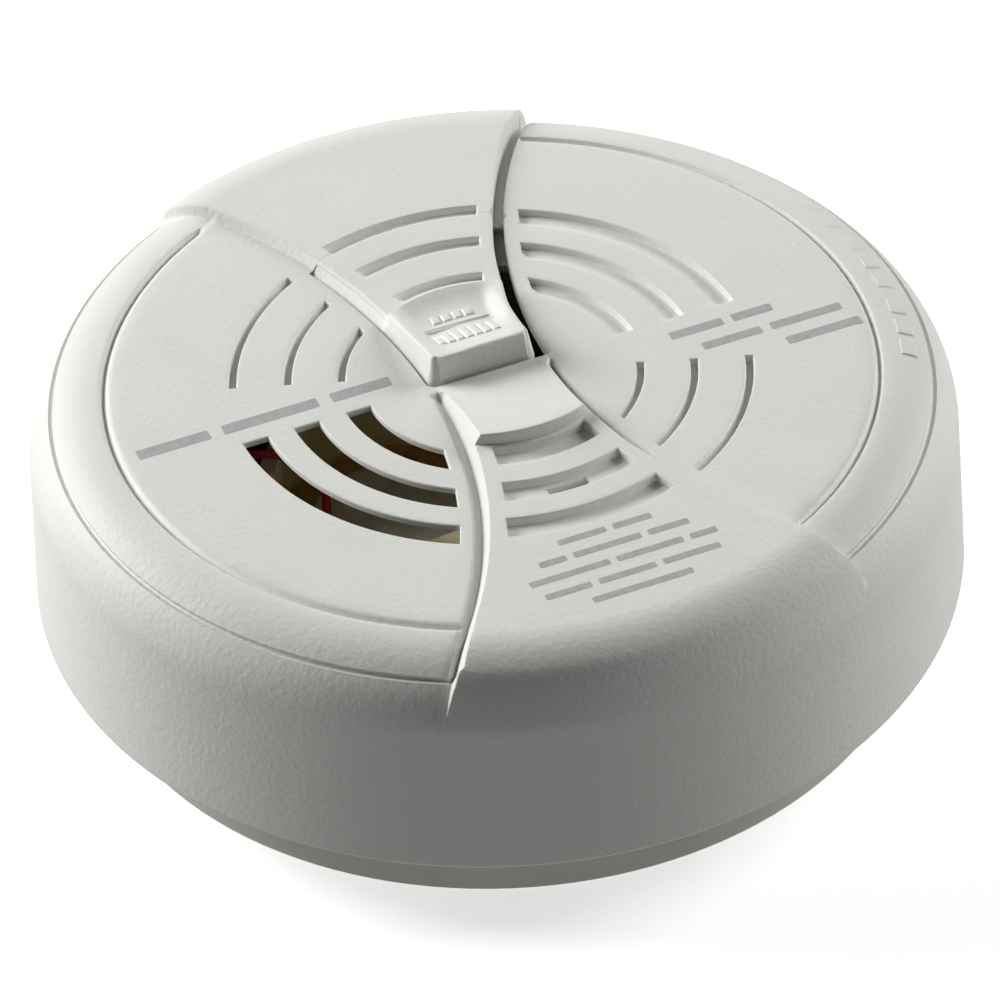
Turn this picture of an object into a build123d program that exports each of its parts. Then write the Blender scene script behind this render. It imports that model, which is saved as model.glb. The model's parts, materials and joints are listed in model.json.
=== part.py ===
"""Round carbon monoxide alarm on a twist-lock wall bracket.

Millimetres. The origin is the centre of the bracket's back face, +Z points out of the
alarm's face, +X is the reading direction of the face, and +Y is the side of the test button.
"""

import os
from math import cos, radians, sin, tan

from build123d import *

# ---------------------------------------------------------------- driving dimensions
RIM_RADIUS = 72.0           # widest circle of the cover, at its open edge
RIM_Z = 11.0                # open edge of the cover above the wall
WALL = 2.2                  # moulded wall of the cover
FACE_Z = RIM_Z + 36.2       # flat outer face
BAND_RISE = 1.3             # the two bands stand this far above the face
BAND_Z = FACE_Z + BAND_RISE
SHOULDER_RADIUS = 71.1      # wall radius where the shoulder starts, after the draft
SHOULDER_Z = RIM_Z + 25.0
OUTER_GROOVE_RADIUS = 67.3
OUTER_GROOVE_Z = RIM_Z + 32.9
INNER_GROOVE_RADIUS = 59.15
INNER_GROOVE_Z = RIM_Z + 35.95
GROOVE_DEPTH = 0.8
GROOVE_HALF_WIDTH = 1.2
DRAFT = (-0.035, 1)         # direction of the wall at the shoulder
BAND_ROUND = 10.0

BAND_HALF_WIDTH = 9.2       # of both bands, on the centre line
BORDER_RADIUS = 90.0        # the bands' borders are arcs that curve away from the centre
BORDER_CENTRE = BAND_HALF_WIDTH + BORDER_RADIUS

# Concentric rings of slots and grooves, inner and outer radius, outermost first.
SLOT_RINGS = [(36.3, 40.4), (28.0, 32.1), (19.6, 23.6)]
NARROW_RINGS = [(38.7, 40.0), (30.3, 31.6), (22.1, 23.4)]
PETAL_RINGS = [(37.4, 39.9), (29.4, 31.9), (20.8, 22.9)]
PETAL_WEDGE = (70, 108)     # the petal grooves' ends, in degrees
SLOT_MARGIN = 3.3           # between a slot's end and the band's border
RECESS_MARGIN = 3.0
NARROW_LEFT_MARGIN = 2.7
NARROW_RIGHT_MARGIN = 2.4
BAND_SLOT_MARGIN = 3.5
RECESS_DEPTH = 1.5
NARROW_DEPTH = 1.0
BAND_SLOT_DEPTH = 2.0
PETAL_DEPTH = 1.4
LIGHT_WINDOW = (7.0, 2.4)   # small window over the lamps
LIGHT_WINDOW_Y = -30.2

BUTTON_TIP_Y = 0.6
BUTTON_REAR_RADIUS = 37.7
BUTTON_TIP_RISE = 4.8       # tip above the flat face
BUTTON_TOP = [              # outline of the thumb block and scoop, as distance and rise
    (3.0, 4.8),
    (8.0, 2.0),
    (15.0, 1.0),
    (19.0, 1.8),
    (20.5, 1.3),
]
BUTTON_PLATE = 2.0
BUTTON_POST_RADIUS = 2.6
BUTTON_LEFT = (9.65, 105.0)     # half-width on the centre line, border radius
BUTTON_RIGHT = (7.9, 87.0)
OPENING_LEFT = (10.15, 105.0)
OPENING_RIGHT = (9.8, 86.0)

PAD_LENGTH = 18.3           # ramp on the lower band, measured from the centre
PAD_RISE = 3.7

BOARD_Z = 22.0
BOARD_THICKNESS = 1.6
BOARD_TOP = BOARD_Z + BOARD_THICKNESS
BOARD_RADIUS = 60.0
BOARD_BACK_Y = 31.0

HORN_AT = (-20.0, -8.0)
HORN_RADIUS = 20.0
HORN_BORE = 17.6
HORN_TOP = 41.0
DISC_Z = 31.0               # seat of the sounder disc
DISC_THICKNESS = 0.4
CERAMIC_RADIUS = 12.5
CERAMIC_THICKNESS = 0.35
EAR_OFFSET = (4.5, 20.5)
EAR_RADIUS = 6.0
EAR_HEIGHT = 6.0

SENSOR_AT = (33.0, -20.0)
SENSOR_BASE = (10.4, 2.0)   # radius and height
SENSOR_CAN = (9.5, 13.0)
FILTER_CAP = (7.2, 1.6)
SENSOR_PIN_RADIUS = 0.5
SWITCH_AT = (0.0, 7.0)
SWITCH_TRAVEL = 1.0
PLUNGER_TOP = BOARD_TOP + 5.55
POST_Z = PLUNGER_TOP + 0.15     # underside of the button's post
LED_Z = FACE_Z - 12.0
LED_GREEN_AT = (2.2, -30.6)
LED_RED_AT = (-2.2, -30.6)
LEAD_RADIUS = 0.7

PLATE_THICKNESS = 2.2       # rear housing plate
PLATE_TOP = RIM_Z + PLATE_THICKNESS
PLATE_RADIUS = 69.3

BAY_HALF_WIDTH = 27.8
BAY_BACK_Y = 35.0
BAY_TOP = 33.4
BAY_WALL = 1.6
DRAWER_HALF_WIDTH = 27.4
DRAWER_Z = PLATE_TOP + 0.4
DRAWER_FLOOR = 1.4
DRAWER_BACK_Y = 36.5
WINDOW_HALF_WIDTH = 28.2

BATTERY_BODY = (45.7, 26.2, 17.3)
TERMINAL_OFFSET = 6.2       # of each battery terminal from the middle
TERMINAL_HEIGHT = 2.6
BATTERY_RIGHT_X = 24.5
BATTERY_Y = 51.2
BATTERY_Z = DRAWER_Z + DRAWER_FLOOR + 0.05

RIB_RADII = (39.0, 40.6)    # behind the button, inside the cover
RIB_DEPTH = 12.0            # below the face
RIB_WEDGE = (50, 130)
BOSS_RADIUS = 3.6
PILOT_RADIUS = 1.5

COVER_SCREW_RADIUS = 44.0
COVER_SCREW_ANGLES = [30.0, 150.0, 270.0]
BOARD_SCREW_RADIUS = 54.0
BOARD_SCREW_ANGLES = [5.0, 190.0, 310.0]

BRACKET_RADIUS = 64.6
BRACKET_TOP = RIM_Z - 0.3
BRACKET_PLATE = 2.4
BRACKET_RIM = 2.2
BEAD = 2.0                  # width and height of the bead around the central hole
BRACKET_HOLE = 34.0
MOUNT_SPACING = 83.0
MOUNT_HOLE = 2.25
CATCH_ANGLES = [90.0, 210.0, 330.0]
CATCH_HALF_ANGLE = 7
CATCH_RADII = (57.6, 60.0)  # post of each catch
LEDGE_RADIUS = 53.6         # inner edge of its ledge
LEDGE_Z = 5.6
LEDGE_THICKNESS = 2.1
STOP_ANGLE = 9
TAB_HALF_ANGLE = 6
TAB_RADII = (50.2, 52.6)
TAB_REACH = 57.0            # outer edge of each tab's flange
TAB_Z = 3.0
TAB_FLANGE = 2.0

os.makedirs("parts", exist_ok=True)


def finish(builder, name):
    """Label a finished piece and write its STEP file."""
    builder.part.label = name
    export_step(builder.part, f"parts/{name}.step")


def on_circle(radius, angle):
    """Plan position on a circle about the centre."""
    return (radius * cos(radians(angle)), radius * sin(radians(angle)))


def cut_to_wedge(start, end, reach=120.0):
    """Keep only the part of the sketch between two angles."""
    middle = on_circle(1.3 * reach, (start + end) / 2)
    corners = [(0, 0), on_circle(reach, start), middle, on_circle(reach, end)]
    Polygon(*corners, align=None, mode=Mode.INTERSECT)


# ---------------------------------------------------------------- front cover
def cover_outline(radius_offset, z_offset):
    """Half section of the cover's sectors: wall, shoulder, sloping ring and flat face."""
    start = (RIM_RADIUS - radius_offset, RIM_Z)
    shoulder = (SHOULDER_RADIUS - radius_offset, SHOULDER_Z)
    outer = (OUTER_GROOVE_RADIUS - radius_offset, OUTER_GROOVE_Z - z_offset)
    inner = (INNER_GROOVE_RADIUS - radius_offset, INNER_GROOVE_Z - z_offset)
    Line((0, RIM_Z), start)
    Line(start, shoulder)
    TangentArc(shoulder, outer, tangent=DRAFT)
    slope = TangentArc(outer, inner, tangent=(-0.85, 0.55))
    Line(slope @ 1, (inner[0] - 1.0, FACE_Z - z_offset))
    Line((inner[0] - 1.0, FACE_Z - z_offset), (0, FACE_Z - z_offset))
    Line((0, FACE_Z - z_offset), (0, RIM_Z))


def band_outline():
    """Half section of the bands, which roll over the rim in one large round."""
    top_edge = (SHOULDER_RADIUS + 0.1 - BAND_ROUND, BAND_Z)
    side = (SHOULDER_RADIUS + 0.05, BAND_Z - BAND_ROUND)
    Line((0, RIM_Z), (RIM_RADIUS, RIM_Z))
    Line((RIM_RADIUS, RIM_Z), side)
    TangentArc(side, top_edge, tangent=DRAFT)
    Line(top_edge, (0, BAND_Z))
    Line((0, BAND_Z), (0, RIM_Z))


def sectors(rings, side, margin, start, end):
    """Arc slots in one sector, cut off along the band's border on that side."""
    centre = (side * BORDER_CENTRE, 0)
    for inner, outer in rings:
        Circle(outer)
        Circle(inner, mode=Mode.SUBTRACT)
    with Locations(centre):
        Circle(BORDER_RADIUS - margin, mode=Mode.INTERSECT)
    cut_to_wedge(start, end)


with BuildPart() as band_solid:
    with BuildSketch(Plane.XZ):
        with BuildLine():
            band_outline()
        make_face()
    revolve(axis=Axis.Z)
    with BuildSketch():
        Rectangle(116, 156)
        with Locations((BORDER_CENTRE, 0), (-BORDER_CENTRE, 0)):
            Circle(BORDER_RADIUS, mode=Mode.SUBTRACT)
    extrude(amount=80, mode=Mode.INTERSECT)
    # The upper band stops where the button's opening starts, the lower one at the pad.
    with BuildSketch(Plane.XY.offset(FACE_Z)):
        with Locations((0, 0.5 - PAD_LENGTH / 2)):
            Rectangle(40, PAD_LENGTH)
    extrude(amount=10, mode=Mode.SUBTRACT)

with BuildPart() as pad_solid:
    with BuildSketch(Plane.YZ.offset(-12)):
        with BuildLine():
            Polyline(
                (0, FACE_Z - 1),
                (0, FACE_Z),
                (-PAD_LENGTH - 2, FACE_Z + PAD_RISE),
                (-PAD_LENGTH - 2, FACE_Z - 1),
                close=True,
            )
        make_face()
    extrude(amount=24)
    with BuildSketch(Plane.XY.offset(FACE_Z - 2)):
        Circle(PAD_LENGTH + 0.6)
        with Locations((BORDER_CENTRE, 0), (-BORDER_CENTRE, 0)):
            Circle(BORDER_RADIUS + 0.6, mode=Mode.SUBTRACT)
    extrude(amount=12, mode=Mode.INTERSECT)

with BuildPart() as front_cover:
    with BuildSketch(Plane.XZ):
        with BuildLine():
            cover_outline(0, 0)
        make_face()
    revolve(axis=Axis.Z)
    # The two decorative grooves that frame the sloping ring.
    for groove_radius, groove_z in [
        (OUTER_GROOVE_RADIUS, OUTER_GROOVE_Z),
        (INNER_GROOVE_RADIUS, INNER_GROOVE_Z),
    ]:
        with BuildSketch(Plane.XZ):
            with BuildLine():
                Polyline(
                    (groove_radius, groove_z - GROOVE_DEPTH),
                    (groove_radius + GROOVE_HALF_WIDTH, groove_z + 1.0),
                    (groove_radius - GROOVE_HALF_WIDTH, groove_z + 1.0),
                    close=True,
                )
            make_face()
        revolve(axis=Axis.Z, mode=Mode.SUBTRACT)
    add(band_solid.part)
    add(pad_solid.part)
    # Hollow inside.
    with BuildSketch(Plane.XZ):
        with BuildLine():
            cover_outline(WALL, WALL)
        make_face()
    revolve(axis=Axis.Z, mode=Mode.SUBTRACT)

    # Lower left: the open sound slots. Upper right: the same slots, closed by a floor.
    with BuildSketch(Plane.XY.offset(FACE_Z - WALL - 1)):
        sectors(SLOT_RINGS, -1, SLOT_MARGIN, 180, 300)
    extrude(amount=WALL + 2, mode=Mode.SUBTRACT)
    with BuildSketch(Plane.XY.offset(FACE_Z - RECESS_DEPTH)):
        sectors(SLOT_RINGS, 1, RECESS_MARGIN, 0, 120)
    extrude(amount=RECESS_DEPTH + 1, mode=Mode.SUBTRACT)
    # Upper left and lower right: narrow grooves.
    for side, margin, start, end in [
        (-1, NARROW_LEFT_MARGIN, 60, 160),
        (1, NARROW_RIGHT_MARGIN, 240, 340),
    ]:
        with BuildSketch(Plane.XY.offset(FACE_Z - NARROW_DEPTH)):
            sectors(NARROW_RINGS, side, margin, start, end)
        extrude(amount=2, mode=Mode.SUBTRACT)
    # Lower band: three recesses, the middle one with a small light window.
    with BuildSketch(Plane.XY.offset(BAND_Z - BAND_SLOT_DEPTH)):
        for inner, outer in SLOT_RINGS:
            Circle(outer)
            Circle(inner, mode=Mode.SUBTRACT)
        with Locations((BORDER_CENTRE, 0), (-BORDER_CENTRE, 0)):
            Circle(BORDER_RADIUS + BAND_SLOT_MARGIN, mode=Mode.SUBTRACT)
        with Locations((0, -40)):
            Rectangle(80, 80, mode=Mode.INTERSECT)
    extrude(amount=4, mode=Mode.SUBTRACT)
    with Locations((0, LIGHT_WINDOW_Y, FACE_Z - 1)):
        Box(*LIGHT_WINDOW, 4, mode=Mode.SUBTRACT)

    # Opening around the test button, with its rear edge in the outer petal groove.
    with BuildSketch(Plane.XY.offset(FACE_Z - 10)):
        Circle(BUTTON_REAR_RADIUS + 0.4)
        with Locations((-OPENING_LEFT[0] - OPENING_LEFT[1], 0)):
            Circle(OPENING_LEFT[1], mode=Mode.SUBTRACT)
        with Locations((OPENING_RIGHT[0] + OPENING_RIGHT[1], 0)):
            Circle(OPENING_RIGHT[1], mode=Mode.SUBTRACT)
        with Locations((0, 50.1)):
            Rectangle(60, 100, mode=Mode.INTERSECT)
    extrude(amount=20, mode=Mode.SUBTRACT)
    with BuildSketch(Plane.XY.offset(FACE_Z - 0.3)):
        Circle(PETAL_RINGS[0][1])
        Circle(PETAL_RINGS[0][0], mode=Mode.SUBTRACT)
        cut_to_wedge(*PETAL_WEDGE)
    extrude(amount=4, mode=Mode.SUBTRACT)

    # Rib behind the button, and the bosses for the cover screws.
    with BuildSketch(Plane.XY.offset(FACE_Z - RIB_DEPTH)):
        Circle(RIB_RADII[1])
        Circle(RIB_RADII[0], mode=Mode.SUBTRACT)
        cut_to_wedge(*RIB_WEDGE)
    extrude(amount=RIB_DEPTH - WALL + 0.1)
    boss_height = FACE_Z - WALL - PLATE_TOP
    with BuildSketch(Plane.XY.offset(PLATE_TOP)):
        with PolarLocations(COVER_SCREW_RADIUS, 3, start_angle=COVER_SCREW_ANGLES[0]):
            Circle(BOSS_RADIUS)
    extrude(amount=boss_height + 0.1)
    with BuildSketch(Plane.XY.offset(PLATE_TOP)):
        with PolarLocations(COVER_SCREW_RADIUS, 3, start_angle=COVER_SCREW_ANGLES[0]):
            Circle(PILOT_RADIUS)
    extrude(amount=boss_height - 6, mode=Mode.SUBTRACT)

    # Window for the battery drawer in the side wall.
    window_height = BAY_TOP - PLATE_TOP
    with Locations((0, RIM_RADIUS - 8, PLATE_TOP + window_height / 2)):
        Box(2 * WINDOW_HALF_WIDTH, 24, window_height, mode=Mode.SUBTRACT)
finish(front_cover, "front_cover")


# ---------------------------------------------------------------- test button
with BuildPart() as test_button:
    # The flexing tongue, with the raised thumb block at its tip.
    with BuildSketch(Plane.YZ.offset(-30)):
        with BuildLine():
            Polyline(
                (BUTTON_TIP_Y, FACE_Z - BUTTON_PLATE),
                (BUTTON_TIP_Y, FACE_Z + BUTTON_TIP_RISE - 0.6),
                (BUTTON_TIP_Y + 0.8, FACE_Z + BUTTON_TIP_RISE),
                *[(y, FACE_Z + rise) for y, rise in BUTTON_TOP],
                (60.0, BAND_Z),
                (60.0, FACE_Z - BUTTON_PLATE),
                close=True,
            )
        make_face()
    extrude(amount=60)
    with BuildSketch(Plane.XY.offset(FACE_Z - 10)):
        Circle(BUTTON_REAR_RADIUS)
        with Locations((-BUTTON_LEFT[0] - BUTTON_LEFT[1], 0)):
            Circle(BUTTON_LEFT[1], mode=Mode.SUBTRACT)
        with Locations((BUTTON_RIGHT[0] + BUTTON_RIGHT[1], 0)):
            Circle(BUTTON_RIGHT[1], mode=Mode.SUBTRACT)
        with Locations((0, 50)):
            Rectangle(60, 100, mode=Mode.INTERSECT)
    extrude(amount=20, mode=Mode.INTERSECT)
    # Two arc grooves across the tongue, like those in the rest of the petal.
    with BuildSketch(Plane.XY.offset(BAND_Z - PETAL_DEPTH)):
        for inner, outer in PETAL_RINGS[1:]:
            Circle(outer)
            Circle(inner, mode=Mode.SUBTRACT)
        cut_to_wedge(70, 107)
    extrude(amount=4, mode=Mode.SUBTRACT)
    # The post that presses the switch, down from the underside of the tip.
    with BuildSketch(Plane.XY.offset(POST_Z)):
        with Locations(SWITCH_AT):
            Circle(BUTTON_POST_RADIUS)
    extrude(amount=FACE_Z - BUTTON_PLATE + 0.1 - POST_Z)
finish(test_button, "test_button")


# ---------------------------------------------------------------- rear housing
with BuildPart() as rear_housing:
    with BuildSketch(Plane.XY.offset(RIM_Z)):
        Circle(PLATE_RADIUS)
    extrude(amount=PLATE_THICKNESS)
    # Locating ring inside the cover's wall, open at the drawer.
    with BuildSketch(Plane.XY.offset(PLATE_TOP)):
        Circle(PLATE_RADIUS)
        Circle(PLATE_RADIUS - 2, mode=Mode.SUBTRACT)
        with Locations((0, RIM_RADIUS)):
            Rectangle(2 * WINDOW_HALF_WIDTH + 3, RIM_RADIUS, mode=Mode.SUBTRACT)
    extrude(amount=4)
    # Battery bay: three walls and a roof around the drawer.
    outer_half = BAY_HALF_WIDTH + BAY_WALL
    with BuildSketch(Plane.XY.offset(PLATE_TOP)):
        with Locations((0, BAY_BACK_Y + 15)):
            Rectangle(2 * outer_half, 30 + 2 * BAY_WALL)
        Circle(66.5, mode=Mode.INTERSECT)
    extrude(amount=BAY_TOP + BAY_WALL - PLATE_TOP)
    with Locations((0, BAY_BACK_Y + 30, (PLATE_TOP + BAY_TOP) / 2)):
        Box(2 * BAY_HALF_WIDTH, 60, BAY_TOP - PLATE_TOP, mode=Mode.SUBTRACT)
    # Slots for the two battery contacts in the bay's left wall.
    with Locations(
        (-outer_half, BATTERY_Y - TERMINAL_OFFSET, 24),
        (-outer_half, BATTERY_Y + TERMINAL_OFFSET, 24),
    ):
        Box(4, 5.4, 8.4, mode=Mode.SUBTRACT)
    # Posts under the circuit board, and clearance holes for the cover screws.
    with BuildSketch(Plane.XY.offset(PLATE_TOP)):
        for angle in BOARD_SCREW_ANGLES:
            with Locations(on_circle(BOARD_SCREW_RADIUS, angle)):
                Circle(3.2)
                Circle(1.3, mode=Mode.SUBTRACT)
    extrude(amount=BOARD_Z - PLATE_TOP)
    with BuildSketch(Plane.XY.offset(RIM_Z)):
        with PolarLocations(COVER_SCREW_RADIUS, 3, start_angle=COVER_SCREW_ANGLES[0]):
            Circle(1.7)
    extrude(amount=PLATE_THICKNESS, mode=Mode.SUBTRACT)
    # Three twist-lock tabs on the back, each with an outward flange.
    for angle in CATCH_ANGLES:
        for reach, height in [(TAB_RADII[1], RIM_Z - TAB_Z), (TAB_REACH, TAB_FLANGE)]:
            with BuildSketch(Plane.XY.offset(TAB_Z)):
                Circle(reach)
                Circle(TAB_RADII[0], mode=Mode.SUBTRACT)
                cut_to_wedge(angle - TAB_HALF_ANGLE, angle + TAB_HALF_ANGLE)
            extrude(amount=height)
    # Vent slots through the plate beside the sensor.
    with BuildSketch(Plane.XY.offset(RIM_Z)):
        with Locations((16, -8), (16, -12), (16, -16), (16, -20)):
            SlotOverall(18, 1.8)
    extrude(amount=PLATE_THICKNESS, mode=Mode.SUBTRACT)
finish(rear_housing, "rear_housing")


# ---------------------------------------------------------------- wall bracket
with BuildPart() as mounting_bracket:
    with BuildSketch():
        Circle(BRACKET_RADIUS)
        Circle(BRACKET_HOLE, mode=Mode.SUBTRACT)
        with GridLocations(MOUNT_SPACING, 0, 2, 1):
            Circle(MOUNT_HOLE, mode=Mode.SUBTRACT)
    extrude(amount=BRACKET_PLATE)
    with BuildSketch(Plane.XY.offset(BRACKET_PLATE)):
        Circle(BRACKET_RADIUS)
        Circle(BRACKET_RADIUS - BRACKET_RIM, mode=Mode.SUBTRACT)
    extrude(amount=BRACKET_TOP - BRACKET_PLATE)
    # A low bead stiffens the edge of the central hole.
    with BuildSketch(Plane.XY.offset(BRACKET_PLATE)):
        Circle(BRACKET_HOLE + BEAD)
        Circle(BRACKET_HOLE, mode=Mode.SUBTRACT)
    extrude(amount=BEAD)
    for angle in CATCH_ANGLES:
        # Post and inward ledge that hold the alarm's tab, and the stop at the locked end.
        catch_height = LEDGE_Z + LEDGE_THICKNESS - BRACKET_PLATE
        with BuildSketch(Plane.XY.offset(BRACKET_PLATE)):
            Circle(CATCH_RADII[1])
            Circle(CATCH_RADII[0], mode=Mode.SUBTRACT)
            cut_to_wedge(angle - CATCH_HALF_ANGLE, angle + CATCH_HALF_ANGLE)
        extrude(amount=catch_height)
        with BuildSketch(Plane.XY.offset(LEDGE_Z)):
            Circle(CATCH_RADII[1])
            Circle(LEDGE_RADIUS, mode=Mode.SUBTRACT)
            cut_to_wedge(angle - CATCH_HALF_ANGLE, angle + CATCH_HALF_ANGLE)
        extrude(amount=LEDGE_THICKNESS)
        with BuildSketch(Plane.XY.offset(BRACKET_PLATE)):
            Circle(CATCH_RADII[1])
            Circle(LEDGE_RADIUS, mode=Mode.SUBTRACT)
            cut_to_wedge(angle - STOP_ANGLE, angle - CATCH_HALF_ANGLE + 0.2)
        extrude(amount=catch_height)
finish(mounting_bracket, "mounting_bracket")


# ---------------------------------------------------------------- circuit board
with BuildPart() as circuit_board:
    with BuildSketch(Plane.XY.offset(BOARD_Z)):
        Circle(BOARD_RADIUS)
        with Locations((0, BOARD_BACK_Y + 40)):
            Rectangle(140, 80, mode=Mode.SUBTRACT)
        with PolarLocations(COVER_SCREW_RADIUS, 3, start_angle=COVER_SCREW_ANGLES[0]):
            Circle(4.2, mode=Mode.SUBTRACT)
        for angle in BOARD_SCREW_ANGLES:
            with Locations(on_circle(BOARD_SCREW_RADIUS, angle)):
                Circle(1.7, mode=Mode.SUBTRACT)
    extrude(amount=BOARD_THICKNESS)
finish(circuit_board, "circuit_board")


# ---------------------------------------------------------------- sounder
with BuildPart() as horn_housing:
    with BuildSketch(Plane.XY.offset(BOARD_TOP)):
        with Locations(HORN_AT):
            Circle(HORN_RADIUS)
    extrude(amount=HORN_TOP - BOARD_TOP)
    # Two ears for its fixing pegs, level with the rim.
    with BuildSketch(Plane.XY.offset(HORN_TOP - EAR_HEIGHT)):
        with Locations(
            (HORN_AT[0] + EAR_OFFSET[0], HORN_AT[1] - EAR_OFFSET[1]),
            (HORN_AT[0] - EAR_OFFSET[0], HORN_AT[1] + EAR_OFFSET[1]),
        ):
            Circle(EAR_RADIUS)
    extrude(amount=EAR_HEIGHT)
    with BuildSketch(Plane.XY.offset(DISC_Z)):
        with Locations(HORN_AT):
            Circle(HORN_BORE)
    extrude(amount=HORN_TOP - DISC_Z, mode=Mode.SUBTRACT)
    with BuildSketch(Plane.XY.offset(BOARD_TOP + 1.6)):
        with Locations(HORN_AT):
            Circle(HORN_BORE - 2.2)
    extrude(amount=DISC_Z - BOARD_TOP, mode=Mode.SUBTRACT)
finish(horn_housing, "horn_housing")

with BuildPart() as horn_disc:
    with BuildSketch(Plane.XY.offset(DISC_Z)):
        with Locations(HORN_AT):
            Circle(HORN_BORE - 0.1)
    extrude(amount=DISC_THICKNESS)
finish(horn_disc, "horn_disc")

with BuildPart() as horn_ceramic:
    with BuildSketch(Plane.XY.offset(DISC_Z + DISC_THICKNESS)):
        with Locations(HORN_AT):
            Circle(CERAMIC_RADIUS)
    extrude(amount=CERAMIC_THICKNESS)
finish(horn_ceramic, "horn_ceramic")


def bend_radii(points):
    """The largest even bend at each corner of a route, for its turn and its shorter run."""
    radii = []
    for before, corner, after in zip(points, points[1:], points[2:]):
        run_in = Vector(*corner) - Vector(*before)
        run_out = Vector(*after) - Vector(*corner)
        half_turn = radians(run_in.get_angle(run_out)) / 2
        radii.append(0.45 * min(run_in.length, run_out.length) / tan(half_turn))
    return radii


def lead(points):
    """An insulated lead: a round wire along straight runs joined by tangent arcs."""
    with BuildPart() as wire:
        with BuildLine() as route:
            FilletPolyline(*points, radius=bend_radii(points))
        with BuildSketch(Plane(route.line @ 0, z_dir=route.line % 0)):
            Circle(LEAD_RADIUS)
        sweep(path=route.line)
    return wire


horn_lead_red = lead(
    [
        (-29, -3, DISC_Z + 0.76),
        (-29, -3, 38),
        (-34, -0.5, 43.8),
        (-42, 3.5, 43),
        (-46, 5, 35),
        (-46, 5, BOARD_TOP),
    ]
)
finish(horn_lead_red, "horn_lead_red")

horn_lead_black = lead(
    [
        (-33, -15.5, DISC_Z + 0.41),
        (-33, -15.5, 39),
        (-36, -17.5, 44),
        (-43, -24, 43),
        (-46, -27, 35),
        (-46, -27, BOARD_TOP),
    ]
)
finish(horn_lead_black, "horn_lead_black")


# ---------------------------------------------------------------- gas sensor
with BuildPart() as sensor_can:
    with BuildSketch(Plane.XY.offset(BOARD_TOP + SENSOR_BASE[1])):
        with Locations(SENSOR_AT):
            Circle(SENSOR_CAN[0])
    extrude(amount=SENSOR_CAN[1])
    fillet(sensor_can.edges().filter_by(GeomType.CIRCLE).sort_by(Axis.Z)[-1], 0.8)
finish(sensor_can, "sensor_can")

with BuildPart() as sensor_base:
    with BuildSketch(Plane.XY.offset(BOARD_TOP)):
        with Locations(SENSOR_AT):
            Circle(SENSOR_BASE[0])
    extrude(amount=SENSOR_BASE[1])
finish(sensor_base, "sensor_base")

with BuildPart() as sensor_filter_cap:
    with BuildSketch(Plane.XY.offset(BOARD_TOP + SENSOR_BASE[1] + SENSOR_CAN[1])):
        with Locations(SENSOR_AT):
            Circle(FILTER_CAP[0])
            Circle(1.2, mode=Mode.SUBTRACT)
            with PolarLocations(4.2, 6):
                Circle(0.9, mode=Mode.SUBTRACT)
    extrude(amount=FILTER_CAP[1])
finish(sensor_filter_cap, "sensor_filter_cap")

with BuildPart() as sensor_pins:
    with BuildSketch(Plane.XY.offset(BOARD_Z - 1.5)):
        with Locations(SENSOR_AT):
            with PolarLocations(5.5, 3, start_angle=30):
                Circle(SENSOR_PIN_RADIUS)
    extrude(amount=1.5)
finish(sensor_pins, "sensor_pins")


# ---------------------------------------------------------------- test switch
with BuildPart() as switch_base:
    with Locations((*SWITCH_AT, BOARD_TOP + 1.75)):
        Box(6, 6, 3.5)
    fillet(switch_base.edges().filter_by(Axis.Z), 0.5)
    with Locations((*SWITCH_AT, BOARD_TOP + 2.35)):
        Cylinder(1.65, 2.3, mode=Mode.SUBTRACT)
finish(switch_base, "switch_base")

with BuildPart() as switch_plunger:
    plunger_length = SWITCH_TRAVEL + 2.0
    with BuildSketch(Plane.XY.offset(PLUNGER_TOP - plunger_length)):
        with Locations(SWITCH_AT):
            Circle(1.6)
    extrude(amount=plunger_length)
finish(switch_plunger, "switch_plunger")


# ---------------------------------------------------------------- other board parts
def chip(centre, size, pins, pitch, along_x=True):
    """A moulded chip body with a row of gull-wing leads on two sides."""
    length, width, height = size
    turn = 0 if along_x else 90
    body_z = BOARD_TOP + 0.25 + height / 2
    with Locations(Location((*centre, 0), (0, 0, turn))):
        with Locations((0, 0, body_z)):
            Box(length, width, height)
        with Locations((0, 0, BOARD_TOP + 0.15)):
            with GridLocations(pitch, width + 1.6, pins, 2):
                Box(0.6, 2.0, 0.3)


with BuildPart() as microcontroller:
    chip((34, 8), (12.6, 7.4, 2.3), 9, 1.27)
finish(microcontroller, "microcontroller")

with BuildPart() as horn_driver_chip:
    chip((-13, -38), (9.6, 6.4, 2.6), 7, 1.27)
finish(horn_driver_chip, "horn_driver_chip")

with BuildPart() as chip_resistors:
    for column in range(4):
        for row in range(2):
            with Locations((12 + 4.5 * column, 18 + 4 * row, BOARD_TOP + 0.3)):
                Box(3.2, 1.6, 0.6)
    for column in range(3):
        with Locations((8 + 5 * column, -50, BOARD_TOP + 0.3)):
            Box(3.2, 1.6, 0.6)
finish(chip_resistors, "chip_resistors")

with BuildPart() as chip_capacitors:
    for column in range(3):
        with Locations((30 + 4.5 * column, -4, BOARD_TOP + 0.5)):
            Box(2.0, 1.3, 1.0)
    for row in range(3):
        with Locations((11, -42 + 3.5 * row, BOARD_TOP + 0.5)):
            Box(2.0, 1.3, 1.0)
finish(chip_capacitors, "chip_capacitors")

with BuildPart() as electrolytic_capacitors:
    for x, y, radius, height in [(50, -6, 4.0, 12.0), (47, -34, 5.0, 13.0), (-44, -40, 3.2, 11.0)]:
        with BuildSketch(Plane.XY.offset(BOARD_TOP)):
            with Locations((x, y)):
                Circle(radius)
        extrude(amount=height)
finish(electrolytic_capacitors, "electrolytic_capacitors")

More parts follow.
